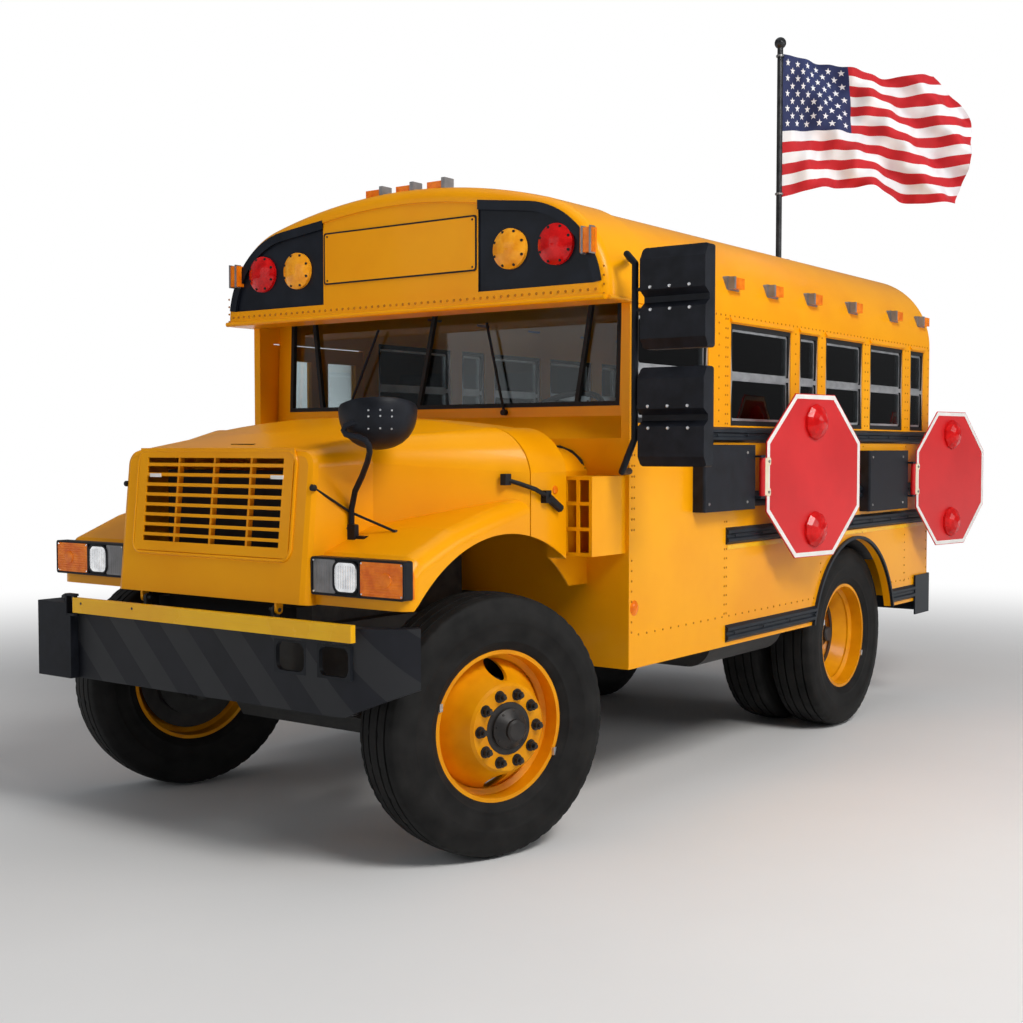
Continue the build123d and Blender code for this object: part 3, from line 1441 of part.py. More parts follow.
dash_y1 = 1010
dash_z0 = 1480
dash_z1 = 1780
dash_y0 = body_front_y + wall
dash_points = [
    (dash_y0, dash_z0), (dash_y1, dash_z0 + wall), (dash_y1, dash_z1 - wall), (dash_y0 + wall, dash_z1),
    (dash_y0, dash_z1 - wall),
]
dash = along_x(dash_points, -inner_half + wall, inner_half - wall) - front_wall
wheel_ring_r = 225
wheel_ring_t = 15
column_r = 25
column_tilt = 35
wheel_place = Pos(driver_x, driver_y - 2 * wall, seat_top - wall) * Rot(column_tilt, 0, 0)
column_len = 260
steering = Torus(wheel_ring_r, wheel_ring_t) + Pos(0, 0, -column_len / 2) * Cylinder(column_r, column_len)
steering += Box(2 * wheel_ring_r, 2 * wheel_ring_t, wheel_ring_t)
steering = wheel_place * steering - dash
parts["interior_fittings"] = solids(legs + [dash, steering])

# Fuel tank and exhaust under the floor

tank_x0 = 520
tank_inset = 100
tank_lead = 866
tank_len = 840
tank_x1 = body_half_width - tank_inset
tank_y1 = wheelbase - tank_lead
tank_y0 = tank_y1 - tank_len
tank_z0 = 560
tank_z1 = 940
tank = block(tank_x0, tank_x1, tank_y0, tank_y1, tank_z0, tank_z1)
tank = fillet(tank.edges().filter_by(Axis.Y), 2 * fender_edge_r)
strap_w = 50
for y in (tank_y0 + 2 * strap_w, tank_y1 - 3 * strap_w):
    tank += block(rail_outer_x, tank_x0 + 2 * strap_w, y, y + strap_w,
                  tank_z1 - 4 * strap_w, tank_z1 - 3 * strap_w)
muffler_r = 130
pipe_r = 38.1
pipe_wall = 3
muffler_x = -600
muffler_lead = 826
muffler_len = 850
muffler_y1 = wheelbase - muffler_lead
muffler_y0 = muffler_y1 - muffler_len
muffler_z = 790
down_x = -200
down_y = 600
down_z = 640
rail_pass_y = 900
muffler_inlet_y = 1050
pipe_gap = 63
pipe_lead = 666
pipe_drop = 350
outlet_lead = 180
outlet_reach = 60
tip_r = 41.3
tip_len = 150
pipe_inner_x = -rail_outer_x - pipe_gap
pipe_inner_y = wheelbase - pipe_lead
pipe_drop_y = body_rear_y - pipe_drop
outlet_y0 = body_rear_y - outlet_lead
outlet_y1 = body_rear_y + outlet_reach
outlet_z = 515
pipe_path = (
    # x, y, z of the bends, from the engine's underside to the outlet behind the rear bumper
    (down_x, down_y, engine_z0),
    (down_x, down_y, down_z),
    (muffler_x, rail_pass_y, down_z),
    (muffler_x, muffler_inlet_y, muffler_z),
    (muffler_x, muffler_y1, muffler_z),
    (pipe_inner_x, pipe_inner_y, muffler_z),
    (pipe_inner_x, pipe_drop_y, muffler_z),
    (pipe_inner_x, outlet_y0, outlet_z),
    (pipe_inner_x, outlet_y1, outlet_z),
)
exhaust = rod_y(muffler_r, muffler_x, muffler_y0, muffler_y1, muffler_z) + bent_rod(pipe_path, pipe_r)
exhaust += rod_y(tip_r, pipe_inner_x, outlet_y1 - tip_len, outlet_y1, outlet_z)
exhaust -= rod_y(pipe_r - pipe_wall, pipe_inner_x, outlet_y0, outlet_y1 + 2 * cut_over, outlet_z)
for y in (muffler_y0 + 2 * strap_w, muffler_y1 - 3 * strap_w):
    exhaust += block(muffler_x, -rail_outer_x, y, y + strap_w, muffler_z, muffler_z + strap_w)
exhaust += block(pipe_inner_x, -rail_outer_x, pipe_drop_y - strap_w, pipe_drop_y,
                 muffler_z, muffler_z + pipe_r / 2)
parts["tank_and_exhaust"] = solids([tank, exhaust])

# Wipers, and the flag on its pole

wiper_bases = (
    # x at the base, x at the tip, z at the tip
    (-640, -420, 2330),
    (420, 300, 2330),
)
wiper_r = 7
wiper_foot_z = screen_z0 - sash_w
wipers = []
for x0, x1, z1 in wiper_bases:
    foot_y = screen_foot_y - 2 * wiper_r
    tip_y = foot_y + (z1 - wiper_foot_z) * math.tan(lean)
    arm = bent_rod([(x0, foot_y, wiper_foot_z), (x1, tip_y, z1)], wiper_r)
    foot = rod_y(2 * wiper_r, x0, foot_y - 2 * wiper_r, screen_foot_y + wall / 2, wiper_foot_z)
    wipers.append(fuse([arm, foot]) - front_wall)
parts["window_frames"] = solids(frames + [rubber] + wipers)

pole_x = 450
pole_share = 0.8132
pole_y = body_y(pole_share)
pole_r = 19
pole_z1 = 4370
ball_r = 38
flange_r = 75
flange_t = 10
flag_w = 910
flag_t = 8
flag_top = 4290
flag_angle = 36.3
pole = rod_z(pole_r, pole_x, pole_y, spring_z, pole_z1) + Pos(pole_x, pole_y, pole_z1) * Sphere(ball_r)
pole += rod_z(flange_r, pole_x, pole_y, spring_z, roof_crest_z - flange_t)
pole -= body_prism(0, spring_z - cut_over, cap_rear_y, body_rear_y)
parts["flag_pole"] = pole
flag_shares = (
    # along the flag's run, sideways; shares of the run's length
    (0.00, 0.00), (0.17, 0.045), (0.36, -0.03), (0.56, 0.05), (0.78, -0.035), (1.00, 0.03),
)
flag_run = 1300
line_a = [(pole_r + flag_t + a * flag_run, b * flag_run) for a, b in flag_shares]
flag = along_z([(x, y - flag_t / 2) for x, y in line_a] + [(x, y + flag_t / 2) for x, y in line_a[::-1]],
               flag_top - flag_w, flag_top)
parts["flag"] = Pos(pole_x, pole_y, 0) * Rot(0, 0, flag_angle) * flag

parts["left_wall"] = left_wall
parts["right_wall"] = right_wall
parts["rear_wall"] = rear_wall
parts["roof"] = roof

# Export with the origin under the middle of the whole bus, mirrors included

boxes = [shape.bounding_box() for shape in parts.values()]
centre_x = (min(b.min.X for b in boxes) + max(b.max.X for b in boxes)) / 2
centre_y = (min(b.min.Y for b in boxes) + max(b.max.Y for b in boxes)) / 2
if __name__ == "__main__":
    os.makedirs("parts", exist_ok=True)
    for name, shape in parts.items():
        export_step(Pos(-centre_x, -centre_y, 0) * shape, f"parts/{name}.step")
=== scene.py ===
import math

import bmesh
import bpy
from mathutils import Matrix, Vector
from mathutils.bvhtree import BVHTree


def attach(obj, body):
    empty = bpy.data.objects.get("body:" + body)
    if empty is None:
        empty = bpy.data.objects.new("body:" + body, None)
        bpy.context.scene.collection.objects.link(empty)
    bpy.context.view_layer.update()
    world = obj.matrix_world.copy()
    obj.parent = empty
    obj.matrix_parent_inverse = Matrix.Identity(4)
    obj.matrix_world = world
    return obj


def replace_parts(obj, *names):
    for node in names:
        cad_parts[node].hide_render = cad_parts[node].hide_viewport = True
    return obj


# Looks of the school bus, in metres. X is the bus's left, the front faces -Y, and Z is up.
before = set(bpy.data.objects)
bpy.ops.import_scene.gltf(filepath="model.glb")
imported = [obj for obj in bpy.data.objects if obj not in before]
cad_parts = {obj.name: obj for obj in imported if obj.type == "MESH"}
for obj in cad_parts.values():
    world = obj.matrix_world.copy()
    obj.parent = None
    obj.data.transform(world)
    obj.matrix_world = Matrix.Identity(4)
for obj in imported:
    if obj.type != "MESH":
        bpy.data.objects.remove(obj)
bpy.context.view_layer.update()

# The source counts from the front axle's middle on the floor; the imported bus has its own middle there.
SHIFT = Vector((-0.21261487, -2.09735887, 0))
HALF_W = 1.22  # the body's sides
STEERED = math.radians(17)  # how far the front wheels are turned at rest
KINGPIN_X = 0.815  # the kingpins' lines, and the rear wheels' middle
AXLE_Z = 0.552
REAR_Y = 3.426
LEFT_AND_RIGHT = ((1, "left"), (-1, "right"))
FORWARD = (0, -1, 0)
UPWARD = (0, 0, 1)


def wheel_place(side, front, along):
    """A point on a wheel's axle, along metres out from the kingpin's line, and the axle's way out."""
    if front:
        axle = Vector((math.cos(STEERED), -math.sin(STEERED), 0)) * side
        return Vector((side * KINGPIN_X, 0, AXLE_Z)) + axle * along, axle
    return Vector((side * (KINGPIN_X + along), REAR_Y, AXLE_Z)), Vector((side, 0, 0))


# Materials: every one varies in colour, gloss and surface


def node(tree, kind, operation=None, **values):
    """A new shader node with some inputs set; an input's name has _ for each space."""
    made = tree.nodes.new("ShaderNode" + kind)
    if operation:
        made.operation = operation
    for name, value in values.items():
        made.inputs[name.replace("_", " ")].default_value = value
    return made


def join(tree, *links):
    """Join sockets; each link is a node, its output, the next node and its input."""
    for source, out, target, into in links:
        tree.links.new(source.outputs[out], target.inputs[into])


def first_node(tree, kind):
    return next(n for n in tree.nodes if n.type == kind)


def colour_ramp(tree, dark, light, low=0.0, high=1.0):
    ramp = node(tree, "ValToRGB")
    for stop, position, colour in zip(ramp.color_ramp.elements, (low, high), (dark, light)):
        stop.position = position
        stop.color = (*colour, 1)
    return ramp


def new_material(name):
    m = bpy.data.materials.new(name)
    m.use_nodes = True
    return m, m.node_tree


def shader_of(m):
    return m.node_tree.nodes["Principled BSDF"]


def material(name, dark, light, rough, metal=0.0, scale=5.0, bump=0.1, grain=120.0, coat=0.0, depth=0.001, spec=0.5):
    """Paint, rubber, metal or cloth: clouds from dark to light, which change the gloss too, over a fine grain."""
    m, tree = new_material(name)
    shader = shader_of(m)
    place = node(tree, "TexCoord")
    cloud = node(tree, "TexNoise", Scale=scale, Detail=6)
    ramp = colour_ramp(tree, dark, light, 0.32, 0.68)
    fine = node(tree, "TexNoise", Scale=grain, Detail=3)
    gloss = node(tree, "MapRange", To_Min=rough[0], To_Max=rough[1])
    relief = node(tree, "Bump", Strength=bump, Distance=depth)
    join(tree, (place, "Object", cloud, "Vector"), (place, "Object", fine, "Vector"), (cloud, "Fac", ramp, "Fac"),
         (ramp, "Color", shader, "Base Color"), (cloud, "Fac", gloss, "Value"),
         (gloss, "Result", shader, "Roughness"), (fine, "Fac", relief, "Height"),
         (relief, "Normal", shader, "Normal"))
    for word, value in (("Metallic", metal), ("Specular IOR Level", spec), ("Coat Weight", coat),
                        ("Coat Roughness", 0.06)):
        shader.inputs[word].default_value = value
    return m


YELLOW = material("bus_yellow", (0.86, 0.325, 0.001), (0.94, 0.395, 0.002), (0.25, 0.36), scale=1.6, bump=0.02,
                  coat=0.07, spec=0.13)
# Rivet heads: the yellow paint at about half its brightness, a painted shade that stands in for the shadow round each
# rivet.
RIVET_SHADE = material("rivet_painted_shade", (0.4, 0.14, 0.001), (0.55, 0.2, 0.001), (0.4, 0.5), scale=12, bump=0.05,
                  spec=0.2)
WHEEL_YELLOW = material("wheel_yellow", (0.7, 0.245, 0.001), (0.84, 0.345, 0.002), (0.3, 0.45), scale=7, bump=0.05,
                        coat=0.05, spec=0.16)
ARM_YELLOW = material("arm_yellow", (0.86, 0.42, 0.004), (0.93, 0.51, 0.006), (0.22, 0.32), scale=4, bump=0.03,
                      coat=0.1, spec=0.18)
BLACK = material("satin_black", (0.006, 0.007, 0.009), (0.015, 0.017, 0.022), (0.34, 0.5), scale=9, bump=0.12,
                 spec=0.16)
PLASTIC = material("grained_black", (0.006, 0.007, 0.01), (0.013, 0.015, 0.021), (0.38, 0.55), scale=14, bump=0.3,
                   grain=380, spec=0.16)
PANEL_BLACK = material("panel_black", (0.006, 0.008, 0.013), (0.012, 0.016, 0.025), (0.28, 0.42), scale=6, bump=0.05,
                       spec=0.16)
RAIL = material("rail_grey", (0.008, 0.011, 0.016), (0.02, 0.026, 0.034), (0.34, 0.5), scale=9, bump=0.12, spec=0.16)
CHASSIS = material("chassis_black", (0.01, 0.01, 0.01), (0.03, 0.029, 0.027), (0.5, 0.75), scale=12, bump=0.35,
                   grain=60)
IRON = material("cast_iron", (0.04, 0.04, 0.042), (0.08, 0.078, 0.075), (0.55, 0.8), 0.6, scale=14, bump=0.5,
                grain=90)
RUBBER = material("seal_rubber", (0.006, 0.006, 0.007), (0.014, 0.014, 0.015), (0.5, 0.7), scale=20, bump=0.2,
                  spec=0.25)
TYRE = material("tyre_rubber", (0.008, 0.008, 0.008), (0.018, 0.0175, 0.017), (0.55, 0.75), scale=10, bump=0.35,
                grain=200, spec=0.14)
HUB = material("hub_black", (0.01, 0.009, 0.009), (0.03, 0.026, 0.024), (0.4, 0.6), 0.2, scale=18, bump=0.35,
               grain=90)
ALLOY = material("aluminium", (0.55, 0.56, 0.58), (0.74, 0.75, 0.77), (0.25, 0.4), 0.9, scale=12, bump=0.08,
                 grain=200)
STEEL = material("wiper_steel", (0.2, 0.2, 0.2), (0.36, 0.35, 0.34), (0.3, 0.5), 0.8, scale=20, bump=0.15)
CHROME = material("reflector", (0.62, 0.63, 0.65), (0.86, 0.87, 0.88), (0.08, 0.18), 0.95, scale=20, bump=0.5,
                  grain=60)
GREY_PANEL = material("lamp_grey", (0.16, 0.16, 0.165), (0.26, 0.26, 0.27), (0.3, 0.45), 0.3, scale=12, bump=0.1)
SIGN_RED = material("sign_red", (0.55, 0.004, 0.006), (0.66, 0.01, 0.012), (0.28, 0.4), scale=3, bump=0.05,
                    grain=400)
CREAM = material("border_white", (0.74, 0.73, 0.7), (0.86, 0.85, 0.82), (0.3, 0.45), scale=8, bump=0.05)
STRAP = material("strap_cream", (0.7, 0.62, 0.44), (0.82, 0.75, 0.58), (0.4, 0.55), scale=9, bump=0.1)
VINYL = material("seat_vinyl", (0.012, 0.02, 0.018), (0.026, 0.042, 0.036), (0.4, 0.55), scale=8, bump=0.5,
                 grain=160)
FLOORING = material("floor_mat", (0.02, 0.02, 0.021), (0.045, 0.045, 0.047), (0.6, 0.8), scale=10, bump=0.4)
INSIDE = material("inside_trim", (0.016, 0.018, 0.02), (0.034, 0.037, 0.04), (0.5, 0.7), scale=8, bump=0.3)
POLE = material("pole_dark", (0.02, 0.021, 0.023), (0.05, 0.052, 0.056), (0.3, 0.45), 0.7, scale=20, bump=0.1)
# Near-black, darker than the satin black paint: the radiator's own black, with painted shade for the deep gaps between
# the grille's bars; the warning lamps' screws take it too.
BLACK_AND_GAP_SHADE = material("black_and_gap_shade", (0.002, 0.002, 0.002), (0.006, 0.006, 0.006), (0.7, 0.9), scale=10, bump=0.1)


def lens(name, dark, light):
    m = material(name, dark, light, (0.12, 0.22), scale=22, bump=0.5, grain=70, coat=0.2, depth=0.002, spec=0.15)
    shader = shader_of(m)
    shader.inputs["Emission Strength"].default_value = 0.12
    join(m.node_tree, (first_node(m.node_tree, "VALTORGB"), "Color", shader, "Emission Color"))
    return m


AMBER = lens("lens_amber", (0.72, 0.25, 0.006), (0.88, 0.38, 0.02))
ORANGE = lens("lens_orange", (0.66, 0.12, 0.002), (0.85, 0.22, 0.006))
RED = lens("lens_red", (0.42, 0.002, 0.003), (0.62, 0.008, 0.008))


def clear_glass(name, tint, index):
    """Glass that is partly see-through and partly a mirror, with faint waves; index is its refractive index."""
    m, tree = new_material(name)
    tree.nodes.remove(shader_of(m))
    place = node(tree, "TexCoord")
    cloud = node(tree, "TexNoise", Scale=2.2)
    ramp = colour_ramp(tree, [c * 0.82 for c in tint], tint)
    through = node(tree, "BsdfTransparent")
    shine = node(tree, "BsdfGlossy", Roughness=0.02)
    relief = node(tree, "Bump", Strength=0.01, Distance=0.002)
    fresnel = node(tree, "Fresnel", IOR=index)
    mix = node(tree, "MixShader")
    join(tree, (place, "Object", cloud, "Vector"), (cloud, "Fac", ramp, "Fac"), (ramp, "Color", through, "Color"),
         (cloud, "Fac", relief, "Height"), (relief, "Normal", shine, "Normal"), (fresnel, "Fac", mix, "Fac"),
         (through, "BSDF", mix, 1), (shine, "BSDF", mix, 2),
         (mix, "Shader", tree.nodes["Material Output"], "Surface"))
    return m


GLASS = clear_glass("window_glass", (0.92, 0.965, 0.975), 1.36)
SIDE_GLASS = clear_glass("side_glass", (0.66, 0.73, 0.75), 1.5)


def striped(m, width, light=(0.022, 0.023, 0.026, 1)):
    """Broad slanting bands, a little lighter than the paint, across a black piece."""
    tree = m.node_tree
    split = node(tree, "SeparateXYZ")
    total = node(tree, "Math", "ADD")
    over = node(tree, "Math", "DIVIDE")
    over.inputs[1].default_value = width
    part = node(tree, "Math", "FRACT")
    pick = node(tree, "Math", "GREATER_THAN")
    pick.inputs[1].default_value = 0.5
    mix = node(tree, "Mix")
    mix.data_type = "RGBA"
    mix.inputs["B"].default_value = light
    join(tree, (first_node(tree, "TEX_COORD"), "Object", split, "Vector"), (split, "X", total, 0),
         (split, "Z", total, 1), (total, "Value", over, 0), (over, "Value", part, 0), (part, "Value", pick, 0),
         (pick, "Value", mix, "Factor"), (first_node(tree, "VALTORGB"), "Color", mix, "A"),
         (mix, "Result", shader_of(m), "Base Color"))
    return m


BUMPER = striped(material("bumper_stripes", (0.005, 0.006, 0.009), (0.011, 0.012, 0.017), (0.4, 0.55), scale=6,
                          bump=0.3, grain=260, spec=0.25), 0.34)

finishes = {
    YELLOW: ["roof", "left_wall", "right_wall", "rear_wall", "front_wall", "front_cap", "cowl", "hood", "grille",
             "front_door_leaf", "rear_door_leaf", "emergency_door"],
    BUMPER: ["front_bumper"],
    PLASTIC: ["arm_boxes", "side_mirrors", "cross_mirrors"],
    RAIL: ["rear_bumper", "rub_rails"],
    ARM_YELLOW: ["crossing_arm"],
    RUBBER: ["window_frames"],
    CHASSIS: ["front_axle", "left_knuckle", "right_knuckle", "rear_axle", "leaf_springs", "frame", "drive_line",
              "tank_and_exhaust"],
    IRON: ["engine"],
    # The radiator behind the grille: its own black, with painted shade in the gaps between the bars.
    BLACK_AND_GAP_SHADE: ["radiator"],
    TYRE: ["front_left_tyre", "front_right_tyre", "rear_left_tyres", "rear_right_tyres"],
    GLASS: ["window_glass", "front_leaf_glass", "rear_leaf_glass", "emergency_door_glass"],
    GREY_PANEL: ["headlights"],
    ORANGE: ["turn_signals"],
    AMBER: ["amber_lamps"],
    RED: ["red_lamps"],
    SIGN_RED: ["front_stop_sign", "rear_stop_sign"],
    VINYL: ["seats"],
    INSIDE: ["interior_fittings"],
    FLOORING: ["floor"],
    POLE: ["flag_pole"],
    CREAM: ["flag"],
    WHEEL_YELLOW: ["front_left_wheel", "front_right_wheel", "rear_left_wheels", "rear_right_wheels"],
}
for finish, names in finishes.items():
    for name in names:
        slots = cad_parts[name].data.materials
        slots.clear()
        slots.append(finish)


def second_finish(name, finish, test):
    """Give a CAD node's faces another finish where test is true of their centres, as the source has them."""
    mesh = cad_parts[name].data
    mesh.materials.append(finish)
    last = len(mesh.materials) - 1
    for face in mesh.polygons:
        if test(face.center - SHIFT):
            face.material_index = last


def hub_test(side, front):
    """True for the black hub, drum and nuts of a wheel, from the distance to its axle and the place along it."""
    pivot, axle = wheel_place(side, front, 0)
    disc_back, disc_front = (0.3535, 0.3662) if front else (0.0235, 0.048)

    def test(point):
        along = (point - pivot).dot(axle)
        radius = (point - pivot - along * axle).length
        if radius > 0.168:
            return radius < 0.1955 and along < disc_back - 0.03
        return along < disc_back - 0.001 or along > disc_front or radius < 0.1095
    return test


def on_centre_rail(point):
    return abs(point.z - 2.075) < 0.0125 and abs(point.x) > 1.15


for side, word in LEFT_AND_RIGHT:
    second_finish(f"front_{word}_wheel", HUB, hub_test(side, True))
    second_finish(f"rear_{word}_wheels", HUB, hub_test(side, False))
second_finish("window_frames", ALLOY, on_centre_rail)
second_finish("window_glass", SIDE_GLASS, lambda point: point.x > 1.0)
second_finish("amber_lamps", ORANGE, lambda point: abs(point.x) > 1.09 or point.z > 2.93)

# Pieces that dress the CAD solids. Their places are the source's own, in metres from the front axle's middle.


def turn(points, pivot, degrees):
    """Points turned about an upright line through pivot."""
    c, s = math.cos(math.radians(degrees)), math.sin(math.radians(degrees))
    out = []
    for x, y, z in points:
        dx, dy = x - pivot[0], y - pivot[1]
        out.append((pivot[0] + c * dx - s * dy, pivot[1] + s * dx + c * dy, z))
    return out


class Form:
    """A mesh put together from plain shapes."""

    def __init__(self):
        self.points = []
        self.faces = []

    def add(self, points, faces):
        first = len(self.points)
        self.points += [tuple(p) for p in points]
        self.faces += [[first + i for i in face] for face in faces]

    def box(self, low, high):
        corners = [(x, y, z) for z in (low[2], high[2])
                   for x, y in ((low[0], low[1]), (high[0], low[1]), (high[0], high[1]), (low[0], high[1]))]
        self.add(corners, [[0, 3, 2, 1], [4, 5, 6, 7], [0, 1, 5, 4], [1, 2, 6, 5], [2, 3, 7, 6], [3, 0, 4, 7]])

    def prism(self, outline, low, high, place):
        """An outline of (u, v) points, pushed from low to high; place turns u, v, w into a point."""
        n = len(outline)
        points = [place(u, v, w) for w in (low, high) for u, v in outline]
        sides = [[i, (i + 1) % n, n + (i + 1) % n, n + i] for i in range(n)]
        self.add(points, [list(range(n))[::-1], list(range(n, 2 * n))] + sides)

    def ring(self, outer, inner, low, high, place):
        """A flat frame between two outlines of as many points."""
        n = len(outer)
        points = [place(u, v, w) for w in (low, high) for line in (outer, inner) for u, v in line]
        faces = []
        for i in range(n):
            j = (i + 1) % n
            faces += [[i, n + i, n + j, j], [2 * n + i, 2 * n + j, 3 * n + j, 3 * n + i],
                      [i, j, 2 * n + j, 2 * n + i], [n + i, 3 * n + i, 3 * n + j, n + j]]
        self.add(points, faces)

    def lathe(self, profile, centre, axis, steps=24, closed=False, shape=None):
        """Profile points (along, radius) turned about the axis through centre; a radius of 0 ends it.

        closed joins the last point to the first. shape(step, point, radius) may change a radius.
        """
        axis = Vector(axis).normalized()
        side = axis.orthogonal().normalized() if abs(axis.z) > 0.5 else Vector(UPWARD).cross(axis).normalized()
        up = axis.cross(side)
        points = []
        rows = []
        for i, (along, radius) in enumerate(profile):
            count = 1 if radius == 0 else steps
            rows.append((len(points), count))
            for k in range(count):
                a = 2 * math.pi * k / steps - math.pi / 2
                depth = shape(k, i, radius) if shape else radius
                points.append(Vector(centre) + axis * along + (side * math.cos(a) + up * math.sin(a)) * depth)
        faces = []
        for (a, count_a), (b, count_b) in zip(rows, rows[1:] + rows[:1] if closed else rows[1:]):
            for k in range(steps):
                j = (k + 1) % steps
                if count_a == 1 and count_b > 1:
                    faces.append([a, b + k, b + j])
                elif count_b == 1 and count_a > 1:
                    faces.append([a + k, b, a + j])
                elif count_a > 1:
                    faces.append([a + k, b + k, b + j, a + j])
        self.add(points, faces)

    def rod(self, a, b, r, steps=12):
        way = Vector(b) - Vector(a)
        self.lathe([(0, 0), (0, r), (way.length, r), (way.length, 0)], a, way, steps)

    def stud(self, place, axis, r, steps=8):
        """A small domed head on a surface."""
        self.lathe([(-0.2 * r, 0), (-0.2 * r, r), (0.45 * r, 0.75 * r), (0.65 * r, 0)], place, axis, steps)

    def tube(self, line, r, steps=8, ends=True):
        """A bead along a line of points."""
        line = [Vector(p) for p in line]
        points = []
        for i, p in enumerate(line):
            way = (line[min(i + 1, len(line) - 1)] - line[max(i - 1, 0)]).normalized()
            side = way.cross(Vector((0, 1, 0) if abs(way.y) < 0.9 else UPWARD)).normalized()
            up = side.cross(way)
            points += [p + (side * math.cos(2 * math.pi * k / steps) + up * math.sin(2 * math.pi * k / steps)) * r
                       for k in range(steps)]
        faces = []
        for i in range(len(line) - 1):
            for k in range(steps):
                j = (k + 1) % steps
                faces.append([i * steps + k, i * steps + j, (i + 1) * steps + j, (i + 1) * steps + k])
        last = (len(line) - 1) * steps
        if ends:
            faces += [list(range(steps))[::-1], [last + k for k in range(steps)]]
        self.add(points, faces)

    def piece(self, name, finish, slot, body="body", hard=38):
        """Make the mesh an object that rides a body; edges sharper than hard degrees stay sharp."""
        mesh = bpy.data.meshes.new(name)
        mesh.from_pydata([Vector(p) + SHIFT for p in self.points], [], self.faces)
        work = bmesh.new()
        work.from_mesh(mesh)
        bmesh.ops.recalc_face_normals(work, faces=work.faces)
        work.to_mesh(mesh)
        work.free()
        mesh.polygons.foreach_set("use_smooth", [True] * len(mesh.polygons))
        mesh.set_sharp_from_angle(angle=math.radians(hard))
        mesh.materials.append(finish)
        obj = bpy.data.objects.new(name, mesh)
        bpy.context.scene.collection.objects.link(obj)
        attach(obj, body)
        return obj


def rounded(x0, x1, z0, z1, r, steps=5):
    """Outline of a rectangle with round corners."""
    out = []
    for cx, cz, start in ((x1 - r, z1 - r, 0), (x0 + r, z1 - r, 90), (x0 + r, z0 + r, 180), (x1 - r, z0 + r, 270)):
        for k in range(steps + 1):
            a = math.radians(start + 90 * k / steps)
            out.append((cx + r * math.cos(a), cz + r * math.sin(a)))
    return out


def frontal(u, v, w):
    return (u, w, v)


def sideways(u, v, w):
    return (w, u, v)


def mirrored(side):
    """Like frontal, on one side of the bus."""
    return lambda u, v, w: (side * u, w, v)


def span(side, a, b):
    """Two distances from the middle plane, as low and high X on one side of the bus."""
    return sorted((side * a, side * b))


trees = {}


def hit(name, start, way):
    """Where a line from start meets a CAD node, in the source's places, or None."""
    if name not in trees:
        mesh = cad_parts[name].data
        trees[name] = BVHTree.FromPolygons([v.co.copy() for v in mesh.vertices],
                                           [tuple(f.vertices) for f in mesh.polygons])
    place = trees[name].ray_cast(Vector(start) + SHIFT, Vector(way).normalized())[0]
    return None if place is None else place - SHIFT


# Wheels: treaded tyres, balance clips, stud ends, the dark ring round the hub and the shield behind the disc

TYRE_STEPS = 200
STUD_CIRCLE = 0.142875
tyre_side = (
    # distance from the middle plane, radius
    (0.0880, 0.3130), (0.1030, 0.3160), (0.1130, 0.3260), (0.1210, 0.3440), (0.1240, 0.3500), (0.1262, 0.3520),
    (0.1275, 0.3570), (0.1262, 0.3620), (0.1292, 0.3760), (0.1335, 0.4010), (0.1372, 0.4290), (0.1384, 0.4310),
    (0.1395, 0.4350), (0.1391, 0.4560), (0.1380, 0.4720), (0.1366, 0.4760), (0.1352, 0.4860), (0.1338, 0.4890),
    (0.1318, 0.5060), (0.1290, 0.5160), (0.1262, 0.5230), (0.1225, 0.5340), (0.1160, 0.5400), (0.1000, 0.5440),
)
tread = (
    (0.0860, 0.5470), (0.0850, 0.5340), (0.0760, 0.5340), (0.0750, 0.5482), (0.0520, 0.5500), (0.0350, 0.5510),
    (0.0340, 0.5370), (0.0250, 0.5370), (0.0240, 0.5515), (0.0, 0.5520),
)
half_profile = tyre_side + tread
tyre_profile = half_profile + tuple((-out, radius) for out, radius in half_profile[-2::-1])
SHOULDER = range(20, 24)
MIDDLE_RIBS = range(28, 30)


def tread_depth(step, point, radius):
    """Shallow notches across the shoulders, and small cuts in the middle ribs."""
    from_side = min(point, len(tyre_profile) - 1 - point)
    if from_side in SHOULDER and step % 4 == 1:
        return radius - 0.0035
    if from_side in MIDDLE_RIBS and step % 8 == 5:
        return radius - 0.004
    return radius


